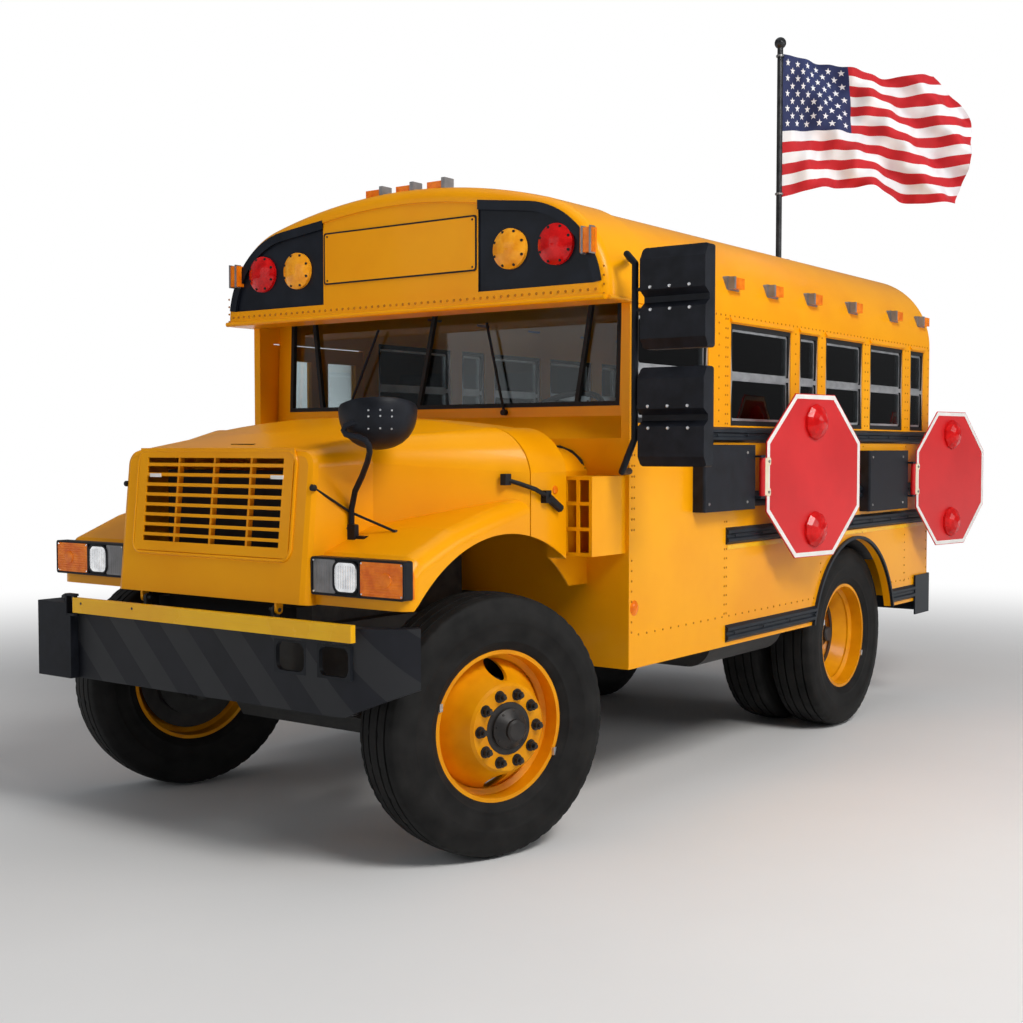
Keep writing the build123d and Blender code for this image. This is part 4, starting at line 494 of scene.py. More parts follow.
for side, word in LEFT_AND_RIGHT:
    for front in (True, False):
        end, plural = ("front", "") if front else ("rear", "s")
        body = f"{end}_{word}_wheel{plural}"
        rubber = Form()
        for along in ((0.2005,) if front else (0.2005, -0.1295)):
            middle, axle = wheel_place(side, front, along)
            rubber.lathe(tyre_profile, middle, axle, TYRE_STEPS, closed=True, shape=tread_depth)
        rubber = rubber.piece(f"{word}_{end}_tread", TYRE, "tyre", body, hard=50)
        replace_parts(rubber, f"{end}_{word}_tyre{plural}")
        up = Vector(UPWARD)
        across = axle.cross(up).normalized()
        nut_seat, cap_bolts, shield = (0.3655, 0.3855, 0.1505) if front else (0.0475, 0.0615, 0.135)

        def spoke(a, radius, along):
            return wheel_place(side, front, along)[0] + (up * math.sin(a) + across * math.cos(a)) * radius

        clip = Form()
        for a in (0.35, 3.6):
            spot = spoke(a, 0.318, 0.3055)
            clip.box(spot - Vector((0.008, 0.01, 0.016)), spot + Vector((0.008, 0.01, 0.016)))
        ends = Form()
        for k in range(10):
            foot = spoke(2 * math.pi * k / 10, STUD_CIRCLE, nut_seat)
            ends.lathe([(0, 0), (0, 0.0255), (0.0045, 0.0235), (0.0045, 0)], foot, axle, 16)
            ends.lathe([(0.02, 0), (0.02, 0.0105), (0.038, 0.0105), (0.041, 0.008), (0.041, 0)], foot, axle, 12)
        for k in range(8):
            ends.stud(spoke(math.pi / 4 * k + 0.2, 0.072, cap_bolts), axle, 0.0075, 6)
        dark = Form()
        dark.lathe([(-0.006, 0.07), (-0.006, 0.1085), (0.0012, 0.1085), (0.0012, 0.07)], spoke(0, 0, nut_seat),
                   axle, 48, closed=True)
        dark.lathe([(0, 0.192), (0, 0.268), (0.003, 0.268), (0.003, 0.192)], spoke(0, 0, shield), axle, 48,
                   closed=True)
        clip.piece(f"{word}_{end}_balance_clips", ALLOY, "pole_metal", body)
        ends.piece(f"{word}_{end}_stud_ends", HUB, "chassis_black", body)
        dark.piece(f"{word}_{end}_shields", HUB, "chassis_black", body)

# Front cap: black panels in its recess and on their rims, the blank board, the lamps' screws, and the lip

CAP_Y = 0.545
RECESS_Y = 0.561
CAP_ARC = (0.74, 2.38)  # centre of the cap's round end
LAMP_Z = 2.627


def in_recess(point):
    """True on the two dark parts of the cap's recess and on its edges."""
    x, crown = abs(point.x), 2.802 + 0.15 * (CAP_ARC[0] - abs(point.x))
    inside = math.hypot(x - CAP_ARC[0], point.z - CAP_ARC[1]) < 0.4185 if x > CAP_ARC[0] else point.z < crown
    return point.z > 2.436 and x > 0.5005 and CAP_Y + 0.0005 < point.y < RECESS_Y + 0.002 and inside


def panel_rim(share):
    """Outline of a cap panel's outer part: an arc and the crown's slope, grown by share of the rim's width."""
    radius = 0.4165 + 0.043 * share
    arc = []
    for k in range(19):
        a = math.radians(8.3 + 73.4 * k / 18)
        arc.append((CAP_ARC[0] + radius * math.cos(a), CAP_ARC[1] + radius * math.sin(a)))
    return arc + [(0.5015, arc[-1][1] + 0.036)]


second_finish("front_cap", PANEL_BLACK, in_recess)
board_outline = rounded(-0.486, 0.486, 2.548, 2.795, 0.012)
board = Form()
board.prism(board_outline, 0.553, 0.5475, frontal)
board.piece("blank_board", YELLOW, "body_yellow")
edge = Form()
edge.ring(rounded(-0.494, 0.494, 2.54, 2.803, 0.014), board_outline, 0.553, 0.547, frontal)
for x in (-0.47, 0.47):
    for z in (2.56, 2.783):
        edge.stud((x, 0.5475, z), FORWARD, 0.006)
edge.piece("board_edge", BLACK, "trim_black")
screws = Form()
for y, way in ((RECESS_Y, -1), (4.6, 1)):
    for x in (-0.946, -0.688, 0.688, 0.946):
        for k in range(8):
            a = math.radians(22.5 + 45 * k)
            screws.lathe([(0.015, 0), (0.015, 0.0065), (0.0275, 0.0065), (0.0275, 0)],
                         (x + 0.083 * math.cos(a), y, LAMP_Z + 0.083 * math.sin(a)), (0, way, 0), 10)
screws.piece("warning_lamp_screws", BLACK_AND_GAP_SHADE, "trim_black")
extension = Form()
for side in (-1, 1):
    extension.prism(panel_rim(1.0) + panel_rim(-0.05)[::-1], 0.5462, 0.5435, mirrored(side))
extension.piece("cap_panel_rims", PANEL_BLACK, "trim_black")
lip = Form()
lip.tube([(x, 0.5435, 2.3745) for x in (-1.215, -0.6, 0, 0.6, 1.215)], 0.0125, 12)
for side in (-1, 1):
    lip.tube([(side * 1.2315, y, 2.3745) for y in (0.556, 0.64, 0.735)], 0.0085, 12)
lip.piece("cap_lip", YELLOW, "body_yellow")

# Rivets, rail screws and reflective strips: rows along the body's sides

SHEET_R = 0.0062


def on_wall(x, y, z):
    """True where the wall's sheet really is: not over a window, an arch or a door."""
    spot = hit("left_wall" if x > 0 else "right_wall", (1.4 * x, y, z), (-x, 0, 0))
    return spot is not None and abs(spot.x - x) < 0.004


def stud_row(form, start, end, step, radius=SHEET_R):
    """Studs from start to end on a side of the body, left out where their sheet is missing."""
    count = max(1, round(math.dist(start, end) / step))
    for k in range(count + 1):
        x, y, z = (a + (b - a) * k / count for a, b in zip(start, end))
        if abs(x) > 1.23 or on_wall(x, y, z):
            form.stud((x, y, z), (math.copysign(1, x), 0, 0), radius)


# Y, step, and the heights between which the upright rows run
both_columns = (
    (0.768, 0.05, ((0.86, 1.19), (1.33, 2.36))),
    (0.788, 0.05, ((1.33, 2.36),)),
    (4.575, 0.06, ((0.9, 2.36),)),
    (1.694, 0.05, ((0.86, 1.19), (1.33, 1.39), (1.5, 1.72), (1.83, 2.36))),
    *((y, 0.055, ((1.84, 2.335),)) for y in (2.497, 2.848, 3.49, 3.53, 4.163, 4.203)),
    *((y, 0.05, ((1.5, 1.715), (0.84, 1.19))) for y in (2.86, 3.47, 4.18)),
)
left_columns = (
    (1.672, 0.05, ((0.86, 1.19), (1.33, 1.39), (1.5, 1.72), (1.83, 2.36))),
    (1.6, 0.055, ((1.84, 2.335),)),
)
rivets = Form()
for side in (-1, 1):
    x = side * HALF_W
    for y, step, parts in both_columns + (left_columns if side > 0 else ()):
        for low, high in parts:
            stud_row(rivets, (x, y, low), (x, y, high), step)
    for z, step, left_start, right_start in ((2.377, 0.05, 0.82, 1.75), (0.845, 0.075, 0.83, 1.72)):
        stud_row(rivets, (x, left_start if side > 0 else right_start, z), (x, 4.56, z), step)
# The body's rivets take the darkened rivet finish: painted shade round each head.
rivets.piece("body_rivets", RIVET_SHADE, "body_yellow")
rivets = Form()
for k in range(59):
    rivets.stud((-1.165 + 2.33 * k / 58, CAP_Y, 2.41), FORWARD, 0.0078)
for z in (2.39, 2.43, 2.47, 2.51):
    for side in (-1, 1):
        rivets.stud((side * 1.205, CAP_Y + 0.004, z), FORWARD, 0.006)
# The cap's rivets take the same darkened finish: painted shade round each head.
rivets.piece("cap_rivets", RIVET_SHADE, "body_yellow")
screws = Form()
for side in (-1, 1):
    x = side * 1.238
    for z, start, end in ((0.755, 1.76, 2.75), (1.256, 1.76, 4.5), (1.44, 1.76, 4.5),
                          (1.7725, 1.56 if side > 0 else 1.75, 4.5)):
        stud_row(screws, (x, start, z), (x, end, z), 0.31, 0.008)
screws.piece("rail_screws", RAIL, "trim_black")
strip = Form()
for side, start in ((1, 1.7), (-1, 1.76)):
    low, high = span(side, 1.2202, 1.2225)
    strip.box((low, start, 1.186), (high, 4.57, 1.209))
strip.piece("reflective_strip", ARM_YELLOW, "arm_yellow")

# Side windows and lamps: sashes, latches, and the plates of the marker lamps

windows = ((0.806, 1.493), (1.729, 2.439), (2.552, 2.798), (2.904, 3.45), (3.569, 4.115), (4.251, 4.491))
sashes = Form()
latches = Form()
for side in (-1, 1):
    for y0, y1 in windows if side > 0 else windows[1:]:
        for z0, z1 in ((1.846, 2.064), (2.086, 2.314)):
            sashes.ring(rounded(y0 + 0.026, y1 - 0.026, z0, z1, 0.02),
                        rounded(y0 + 0.038, y1 - 0.038, z0 + 0.012, z1 - 0.012, 0.014),
                        *span(side, 1.196, 1.206), sideways)
        for share in (0.22, 0.78):
            y = y0 + share * (y1 - y0)
            low, high = span(side, 1.203, 1.213)
            latches.box((low, y - 0.022, 2.066), (high, y + 0.022, 2.086))
sashes.piece("window_sashes", ALLOY, "pole_metal")
latches.piece("sash_latches", BLACK, "trim_black")
plates = Form()
for side in (-1, 1):
    for y in (1.78, 2.24, 2.75, 3.335, 3.995, 4.48):
        plates.prism(rounded(y - 0.07, y + 0.07, 2.51, 2.58, 0.012), *span(side, 1.15, 1.2035), sideways)
        low, high = span(side, 1.185, 1.2435)
        plates.box((low, y - 0.062, 2.514), (high, y - 0.044, 2.576))
    for low, high in (span(side, 1.108, 1.116), span(side, 1.152, 1.16)):
        plates.box((low, 0.508, 2.566), (high, 0.548, 2.688))
for x in (-0.2, 0, 0.2):
    plates.box((x + 0.038, 0.6, 2.96), (x + 0.06, 0.672, 3.014))
plates.piece("lamp_plates", GREY_PANEL, "pole_metal")

# Stop arms: on both faces a white border, lamps, and a strap with two bolts


def octagon_outline(y, z, across):
    half = across / 2
    cut = half * math.tan(math.pi / 8)
    return [(y + a, z + b) for a, b in ((-half, -cut), (-cut, -half), (cut, -half), (half, -cut),
                                        (half, cut), (cut, half), (-cut, half), (-half, cut))]


SIGN_X = 1.305
SIGN_TURN = 10  # degrees between a folded sign and the body's side
SIGN_LAMP = 0.2904  # from the octagon's middle
for name, pin_y, mid_y, mid_z in (("front", 1.923, 2.397, 1.556), ("rear", 4.096, 4.57, 1.505)):
    pin = (SIGN_X, pin_y)
    body = f"{name}_stop_sign"

    def swung(u, v, w, pin=pin):
        return turn([(SIGN_X + w, u, v)], pin, -SIGN_TURN)[0]

    def lamp_face(point, mid_y=mid_y, mid_z=mid_z, pin=pin):
        x, y, z = turn([tuple(point)], pin, SIGN_TURN)[0]
        return abs(x - SIGN_X) > 0.0032 and math.hypot(y - mid_y, abs(z - mid_z) - SIGN_LAMP) < 0.094

    border, facet, strap, bolt = Form(), Form(), Form(), Form()
    for face in (-1, 1):
        border.ring(octagon_outline(mid_y, mid_z, 0.872), octagon_outline(mid_y, mid_z, 0.826),
                    face * 0.0028, face * 0.0042, swung)
        axis = turn([(face, 0, 0)], (0, 0), -SIGN_TURN)[0]
        for up in (-1, 1):
            facet.lathe([(0.001, 0), (0.001, 0.0975), (0.014, 0.0965), (0.034, 0.076), (0.05, 0.042), (0.0575, 0)],
                        swung(mid_y, mid_z + up * SIGN_LAMP, face * 0.003), axis, 10)
        strap.prism(rounded(pin_y + 0.018, pin_y + 0.048, mid_z - 0.097, mid_z + 0.097, 0.006),
                    face * 0.0028, face * 0.0075, swung)
        for z in (mid_z - 0.08, mid_z + 0.08):
            strap.prism(rounded(pin_y + 0.03, pin_y + 0.066, z - 0.022, z + 0.022, 0.014),
                        face * 0.0028, face * 0.008, swung)
            bolt.stud(swung(pin_y + 0.05, z, face * 0.008), axis, 0.009)
    border.piece(f"{name}_sign_border", CREAM, "flag_cloth", body)
    facet.piece(f"{name}_sign_lamps", RED, "lamp_red", body, hard=4)
    strap.piece(f"{name}_sign_strap", STRAP, "flag_cloth", body)
    bolt.piece(f"{name}_sign_bolts", STEEL, "pole_metal", body)
    second_finish(body, RED, lamp_face)

# Outside mirror: rivets on the heads, and their glass

studs = Form()
panes = Form()
for x0, x1, z0, z1 in ((1.385, 1.706, 2.135, 2.575), (1.375, 1.702, 1.625, 2.057)):
    for up, y in ((0.605, 0.555), (0.385, 0.5595)):
        for across in (0.16, 0.46, 0.76):
            studs.stud((x0 + across * (x1 - x0), y, z0 + up * (z1 - z0)), FORWARD, 0.0085)
    panes.prism(rounded(x0 + 0.018, x1 - 0.018, z0 + 0.018, z1 - 0.018, 0.02), 0.644, 0.6475, frontal)
studs.piece("mirror_rivets", ALLOY, "pole_metal")
panes.piece("mirror_glass", CHROME, "lamp_clear")

# Headlights and turn signals: housings, lenses, ribs and screws

FRONT = -0.6585  # Y of the lamps' face
BACK = FRONT + 0.006
housing = (0.586, 1.08, 1.118, 1.272, 0.012)
clear_lens = (0.713, 0.835, 1.137, 1.253, 0.03)
bezels, grey, lamp_glass, flutes, signal_glass, screws = (Form() for _ in range(6))
for side in (-1, 1):
    face = mirrored(side)
    bezels.prism(rounded(*housing), -0.61, FRONT + 0.0045, face)
    bezels.ring(rounded(*housing), rounded(0.594, 1.072, 1.126, 1.264, 0.01), BACK, FRONT - 0.0035, face)
    bezels.prism(rounded(0.843, 0.85, 1.124, 1.266, 0.002), BACK, FRONT - 0.003, face)
    bezels.ring(rounded(0.706, 0.842, 1.13, 1.26, 0.034), rounded(*clear_lens), BACK, FRONT - 0.005, face)
    grey.prism(rounded(0.596, 0.715, 1.128, 1.262, 0.006), BACK, FRONT + 0.001, face)
    lamp_glass.prism(rounded(*clear_lens), BACK, FRONT - 0.002, face)
    signal_glass.prism(rounded(0.852, 1.071, 1.128, 1.262, 0.008), BACK, FRONT - 0.002, face)
    for form, count, x, step, y, low, high, radius in ((grey, 6, 0.612, 0.014, 0.002, 1.135, 1.255, 0.003),
                                                       (flutes, 9, 0.722, 0.013, -0.0018, 1.15, 1.24, 0.0024)):
        for k in range(count):
            form.rod(face(x + step * k, low, FRONT + y), face(x + step * k, high, FRONT + y), radius, 8)
    for k in range(12):
        z = 1.136 + 0.0108 * k
        signal_glass.rod(face(0.858, z, FRONT - 0.0015), face(1.065, z, FRONT - 0.0015), 0.0018, 8)
    signal_glass.lathe([(0, 0.03), (0.004, 0.028), (0.006, 0)], face(0.985, 1.195, FRONT - 0.002), FORWARD, 24)
    for u, v in ((0.6, 1.1325), (0.6, 1.2575), (0.858, 1.134), (1.065, 1.134), (0.858, 1.256), (1.065, 1.256)):
        screws.stud(face(u, v, FRONT - 0.002), FORWARD, 0.0048)
bezels.piece("lamp_bezels", BLACK, "trim_black", "hood")
grey.piece("lamp_side_panels", GREY_PANEL, "lamp_clear", "hood")
lamp_glass.piece("headlight_lenses", CHROME, "lamp_clear", "hood")
flutes.piece("headlight_flutes", CHROME, "lamp_clear", "hood")
signal_glass.piece("signal_lenses", ORANGE, "lamp_orange", "hood")
screws.piece("lamp_screws", ALLOY, "pole_metal", "hood")

# Hood and cowl: reflectors in the grille, the bead round it, latches, marks, knobs and the seal

tabs = Form()
for x in (-0.366, 0.392):
    spot = hit("grille", (x, -1.2, 1.586), (0, 1, 0))
    if spot:
        tabs.box((x - 0.036, spot.y - 0.0035, 1.578), (x + 0.036, spot.y + 0.002, 1.594))
tabs.piece("grille_reflectors", CREAM, "flag_cloth", "hood")
low_spot = hit("hood", (0.52, -1.2, 1.3), (0, 1, 0))
high_spot = hit("hood", (0.52, -1.2, 1.64), (0, 1, 0))
if low_spot and high_spot:
    bead = Form()
    slope = (high_spot.y - low_spot.y) / (high_spot.z - low_spot.z)
    for grow, radius in ((0.038, 0.0085), (0.012, 0.0045)):
        outline = rounded(-0.452 - grow, 0.452 + grow, 1.285 - grow, 1.668 + grow * 0.6, 0.03 + grow * 0.5, 6)
        line = [(u, low_spot.y + slope * (v - low_spot.z) - 0.001, v) for u, v in outline]
        bead.tube(line + line[:2], radius, 8, ends=False)
    bead.piece("grille_bead", YELLOW, "body_yellow", "hood")
latch, marks, knobs = Form(), Form(), Form()
for side in (-1, 1):
    inward = (-side, 0, 0)
    fore = hit("hood", (side * 1.5, 0.085, 1.562), inward)
    aft = hit("cowl", (side * 1.5, 0.262, 1.5), inward)
    if fore and aft:
        bracket = Vector((fore.x + side * 0.012, 0.07, 1.572))
        bend = Vector((side * (max(abs(fore.x), abs(aft.x)) + 0.022), 0.171, 1.53))
        catch = Vector((aft.x + side * 0.016, 0.268, 1.498))
        tip = Vector((aft.x + side * 0.014, 0.372, 1.44))
        latch.box(bracket - Vector((0.014, 0.02, 0.024)), bracket + Vector((0.014, 0.02, 0.024)))
        latch.tube([bracket, bracket.lerp(bend, 0.5) + Vector((side * 0.006, 0, 0)), bend, catch], 0.01, 10)
        latch.tube([catch, tip], 0.019, 8)
        latch.box(catch - Vector((0.016, 0.024, 0.03)), catch + Vector((0.012, 0.016, 0.024)))
    mark = hit("cowl", (side * 1.5, 0.352, 1.522), inward)
    if mark:
        marks.lathe([(-0.004, 0), (-0.004, 0.02), (0.004, 0.018), (0.007, 0)], mark, (side, 0, 0), 20)
    knob = hit("hood", (side * 1.5, -0.64, 1.545), inward)
    if knob:
        knobs.lathe([(-0.004, 0), (-0.004, 0.013), (0.014, 0.013), (0.02, 0.007), (0.02, 0)], knob, (side, 0, 0), 14)
latch.piece("hood_latches", RUBBER, "window_trim")
marks.piece("cowl_reflectors", ORANGE, "lamp_orange")
top = hit("hood", (0.075, -0.545, 2.4), (0, 0, -1))
if top:
    knobs.prism(rounded(0.005, 0.145, top.y - 0.012, top.y + 0.012, 0.008), top.z - 0.003, top.z + 0.0012,
                lambda u, v, w: (u, v, w))
knobs.piece("hood_knobs", RUBBER, "window_trim", "hood")
line = []
for k in range(81):
    a = math.radians(-28 + 236 * k / 80)
    out = Vector((math.cos(a), 0, math.sin(a)))
    spot = hit("cowl", Vector((0, 0.705, 1.2)) + out * 2.2, -out)
    if spot and abs(spot.x) < 1.125 and spot.z > 1.02 and not (spot.x > 0 and spot.z < 1.59):
        line.append(Vector((spot.x, 0.738, spot.z)) - out * 0.002)
if len(line) > 10:
    seal = Form()
    seal.tube(line, 0.012, 8)
    seal.piece("cowl_seal", RUBBER, "window_trim")

# Cross-view mirror: bowl, bent arm, rivets, bracket and two thin stays

DISH = Vector((0.761, -0.45, 1.863))
DISH_R, DISH_DEPTH, ROUNDNESS = 0.16, 0.162, 2.3
up = Vector((-0.165, 0.165, 0.972)).normalized()
ahead = Vector((0.7, -0.7, 0.238)).normalized()
beside = up.cross(ahead).normalized()


def bowl_radius(share):
    """The bowl's radius at a share of its depth."""
    return DISH_R * (1 - share ** ROUNDNESS) ** (1 / ROUNDNESS)


bowl = [(0.012, 0.0), (0.012, 0.146), (0.008, 0.157), (0.0, DISH_R)]
for k in range(1, 15):
    deep = math.sin(math.radians(90 * k / 14))
    bowl.append((-DISH_DEPTH * deep, bowl_radius(deep)))
mirror = Form()
mirror.lathe(bowl, DISH, up, 48)
mirror.tube([(0.618, -0.457, 1.3), (0.621, -0.458, 1.39), (0.625, -0.462, 1.455), (0.66, -0.478, 1.53),
             (0.718, -0.5, 1.59), (0.78, -0.535, 1.65), (0.815, -0.56, 1.69), (0.826, -0.577, 1.716),
             (0.82, -0.59, 1.736), (0.795, -0.6, 1.748), (0.762, -0.608, 1.753), (0.735, -0.612, 1.76),
             (0.724, -0.613, 1.776), (0.735, -0.612, 1.794), (0.764, -0.606, 1.803), (0.79, -0.585, 1.806),
             (0.8, -0.54, 1.806)], 0.0125, 12)
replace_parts(mirror.piece("cross_mirror", PLASTIC, "trim_black", "hood"), "cross_mirrors")
plate_rivets = Form()
for down in (0.045, 0.068, 0.112):
    for aside in (-0.046, 0.0, 0.046):
        out = math.sqrt(bowl_radius(down / DISH_DEPTH) ** 2 - aside * aside)
        spot = DISH - up * down + beside * aside + ahead * out
        plate_rivets.stud(spot, spot - DISH, 0.0048)
plate_rivets.piece("cross_mirror_rivets", ALLOY, "pole_metal", "hood")
CLAMP = (0.618, -0.462, 1.442)
stays = Form()
stays.prism(rounded(0.588, 0.648, 1.246, 1.392, 0.008), -0.47, -0.444, frontal)
stays.box((0.6, -0.46, 1.3), (0.69, -0.43, 1.345))
for x, z in ((0.604, 1.375), (0.632, 1.375), (0.604, 1.265), (0.632, 1.265)):
    stays.stud((x, -0.47, z), FORWARD, 0.006)
for start, way in (((1.5, -0.64, 1.549), (-1, 0, 0)), ((0.79, -0.38, 2.4), (0, 0, -1))):
    foot = hit("hood", start, way)
    if foot:
        stays.rod(foot, CLAMP, 0.0055)
        stays.stud(foot, [-v for v in way], 0.012)
stays.piece("cross_mirror_stays", BLACK, "trim_black", "hood")

# Bumper: frames with round corners inside the two tow openings

frames = Form()
for x0, x1 in ((0.481, 0.647), (0.719, 0.885)):
    frames.ring(rounded(x0 - 0.005, x1 + 0.005, 0.807, 0.943, 0.003),
                rounded(x0 + 0.005, x1 - 0.005, 0.817, 0.933, 0.032), -0.74, -0.7606, frontal)
frames.piece("tow_slot_frames", BLACK, "trim_black")

# Crossing arm: a fold along it, a cap at its end, and two bolts

fold = Form()
fold.box((-0.735, -0.8008, 0.992), (0.905, -0.7985, 0.997))
fold.box((0.9045, -0.7995, 0.968), (0.908, -0.77, 1.024))
fold.piece("arm_fold", ARM_YELLOW, "arm_yellow", "crossing_arm")
bolts = Form()
for x, z in ((-0.715, 1.006), (-0.36, 1.008)):
    bolts.stud((x, -0.7975, z), FORWARD, 0.008)
bolts.piece("arm_bolts", HUB, "pole_metal", "crossing_arm")

# Motor boxes: screws at their corners

screws = Form()
for y0, y1, z0, z1 in ((1.338, 1.893, 1.39, 1.722), (3.423, 4.066, 1.32, 1.69)):
    for y in (y0 + 0.045, y1 - 0.1):
        for z in (z0 + 0.04, z1 - 0.04):
            spot = hit("arm_boxes", (1.6, y, z), (-1, 0, 0))
            if spot:
                screws.stud(spot, (1, 0, 0), 0.009)
screws.piece("motor_box_screws", STEEL, "pole_metal")

# Flag: cloth with folds, thirteen stripes, a blue field and fifty stars

FLAG_HEIGHT, FLAG_LENGTH = 0.914, 1.524
FIELD_LENGTH = 0.4  # the blue field's share of the length
STRIPES, FIELD_STRIPES = 13, 7
cloth_look = {"rough": (0.7, 0.85), "scale": 6, "bump": 0.25, "grain": 420}
FLAG_RED = material("cloth_red", (0.46, 0.006, 0.012), (0.58, 0.012, 0.02), **cloth_look)
FLAG_WHITE = material("cloth_white", (0.76, 0.76, 0.79), (0.88, 0.88, 0.9), **cloth_look)
FLAG_BLUE = material("cloth_blue", (0.012, 0.02, 0.085), (0.022, 0.034, 0.125), **cloth_look)
FLAG_FOOT = Vector((0.45, 3.88, 0))
FLAG_ANGLE = math.radians(36.3)
# The cloth's edges: share of the edge, distance from the pole, height
flag_top = ((0.0, 0.019, 4.3), (0.25, 0.26, 4.245), (0.4, 0.437, 4.208), (0.62, 0.66, 4.158), (0.8, 0.83, 4.15),
            (1.0, 1.033, 4.172))
flag_low = ((0.0, 0.019, 3.366), (0.25, 0.27, 3.425), (0.4, 0.47, 3.428), (0.55, 0.62, 3.432), (0.72, 0.8, 3.345),
            (0.86, 0.98, 3.322), (1.0, 1.18, 3.33))
flag_fly = ((0.0, 1.033, 4.172), (0.14, 1.125, 4.06), (0.27, 1.25, 3.93), (0.38, 1.29, 3.84),
            (0.6, 1.255, 3.65), (0.85, 1.215, 3.44), (1.0, 1.18, 3.33))


def smooth_line(table, t):
    """A point on a smooth line through a table of (share, run, height)."""
    ts = [row[0] for row in table]
    i = max(1, min(len(ts) - 1, sum(1 for v in ts if v <= t)))
    a, b = table[i - 1], table[i]
    before, after = table[max(i - 2, 0)], table[min(i + 1, len(table) - 1)]
    h = b[0] - a[0]
    u = (t - a[0]) / h
    out = []
    for j in (1, 2):
        ma = (b[j] - before[j]) / max(b[0] - before[0], 1e-6) * h
        mb = (after[j] - a[j]) / max(after[0] - a[0], 1e-6) * h
        out.append((2 * u ** 3 - 3 * u ** 2 + 1) * a[j] + (u ** 3 - 2 * u ** 2 + u) * ma
                   + (-2 * u ** 3 + 3 * u ** 2) * b[j] + (u ** 3 - u ** 2) * mb)
    return Vector(out)


def cloth_point(s, t, lift=0.0):
    """Where the flag's cloth is: s runs from pole to fly, t from its top edge down."""
    top, low, fly = smooth_line(flag_top, s), smooth_line(flag_low, s), smooth_line(flag_fly, t)
    straight = smooth_line(flag_top, 1.0).lerp(smooth_line(flag_low, 1.0), t)
    spot = top.lerp(low, t) + (fly - straight) * s ** 2
    run, z = spot
    fall = 4.3 - z
    grow = min(1.0, 5 * s)
    fold = 0.066 * math.sin(2 * math.pi * (run - 0.66 * fall) / 0.37 + 0.9) * (0.35 + 0.65 * s)
    fold += 0.02 * math.sin(2 * math.pi * (run + 0.22 * fall) / 0.155 + 0.4) * (1 - 0.6 * s)
    fold += 0.01 * math.sin(2 * math.pi * (run - 1.3 * fall) / 0.19) * s
    out = fold * grow + lift
    c, d = math.cos(FLAG_ANGLE), math.sin(FLAG_ANGLE)
    return FLAG_FOOT + Vector((run * c + out * d, run * d - out * c, z))


COLUMNS, ROWS = 100, 78
cloth = Form()
cloth.points = [tuple(cloth_point(i / COLUMNS, j / ROWS)) for j in range(ROWS + 1) for i in range(COLUMNS + 1)]
kinds = []
for j in range(ROWS):
    for i in range(COLUMNS):
        corner = j * (COLUMNS + 1) + i
        cloth.faces.append([corner, corner + 1, corner + COLUMNS + 2, corner + COLUMNS + 1])
        stripe = j * STRIPES // ROWS
        kinds.append(2 if i < FIELD_LENGTH * COLUMNS and stripe < FIELD_STRIPES else stripe % 2)
flag_cloth = cloth.piece("flag_cloth", FLAG_RED, "flag_cloth", hard=180)
flag_cloth.data.materials.append(FLAG_WHITE)
flag_cloth.data.materials.append(FLAG_BLUE)
flag_cloth.data.polygons.foreach_set("material_index", kinds)
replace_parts(flag_cloth, "flag")
stars = Form()
for row in range(9):
    for column in range(6 if row % 2 == 0 else 5):
        s = (1 + 2 * column + row % 2) / 12 * FIELD_LENGTH
        t = (row + 1) / 10 * FIELD_STRIPES / STRIPES
        for lift in (-0.0016, 0.0016):
            tips = [cloth_point(s, t, lift)]
            for k in range(10):
                a = math.pi / 5 * k
                radius = 0.026 if k % 2 == 0 else 0.0105
                tips.append(cloth_point(s + radius * math.sin(a) / FLAG_LENGTH, t - radius * math.cos(a) / FLAG_HEIGHT,
                                        lift))
            stars.add(tips, [[0, 1 + k, 1 + (k + 1) % 10] for k in range(10)])
star_piece = stars.piece("flag_stars", FLAG_WHITE, "flag_cloth", hard=180)
rings = Form()
for z in (4.285, 3.385):
    rings.lathe([(-0.006, 0.021), (-0.006, 0.027), (0.006, 0.027), (0.006, 0.021)], FLAG_FOOT + Vector((0, 0, z)),
                UPWARD, 20, closed=True)
rings.piece("flag_rings", STEEL, "pole_metal")
area = sum(face.area for face in flag_cloth.data.polygons)
print("cloth area", round(area, 4), "of", round(FLAG_HEIGHT * FLAG_LENGTH, 4))

# Seats: crowned vinyl cushions and backs

CUTS = 7  # squares along each edge of a cushion
CROWN = 0.008
corner_signs = ((-1, -1, -1), (1, -1, -1), (1, 1, -1), (-1, 1, -1), (-1, -1, 1), (1, -1, 1), (1, 1, 1), (-1, 1, 1))


def pad(name, corners):
    """A cushion over eight corners (low four, then high four), crowned on each face and pulled in at its edges."""
    form = Form()
    index = {}
    middle = sum((Vector(corner) for corner in corners), Vector()) / 8

    def at(key):
        if key not in index:
            u, v, w = (2 * q / CUTS - 1 for q in key)
            point = Vector((0, 0, 0))
            for corner, (a, b, c) in zip(corners, corner_signs):
                point += Vector(corner) * ((1 + a * u) * (1 + b * v) * (1 + c * w) / 8)
            nearness = [abs(p * q) for p, q in ((u, v), (v, w), (u, w))]
            away = point - middle
            point = middle + away * (1 - 0.045 * max(nearness) ** 6)
            point += away.normalized() * CROWN * (0.4 - max(nearness) ** 4) * 0.8
            index[key] = len(form.points)
            form.points.append(tuple(point))
        return index[key]

    for a in range(CUTS):
        for b in range(CUTS):
            square = ((a, b), (a + 1, b), (a + 1, b + 1), (a, b + 1))
            for end in (0, CUTS):
                form.faces.append([at((end, p, q)) for p, q in square])
                form.faces.append([at((p, end, q)) for p, q in square])
                form.faces.append([at((p, q, end)) for p, q in square])
    piece = form.piece(name, VINYL, "seat_vinyl", hard=180)
    return piece


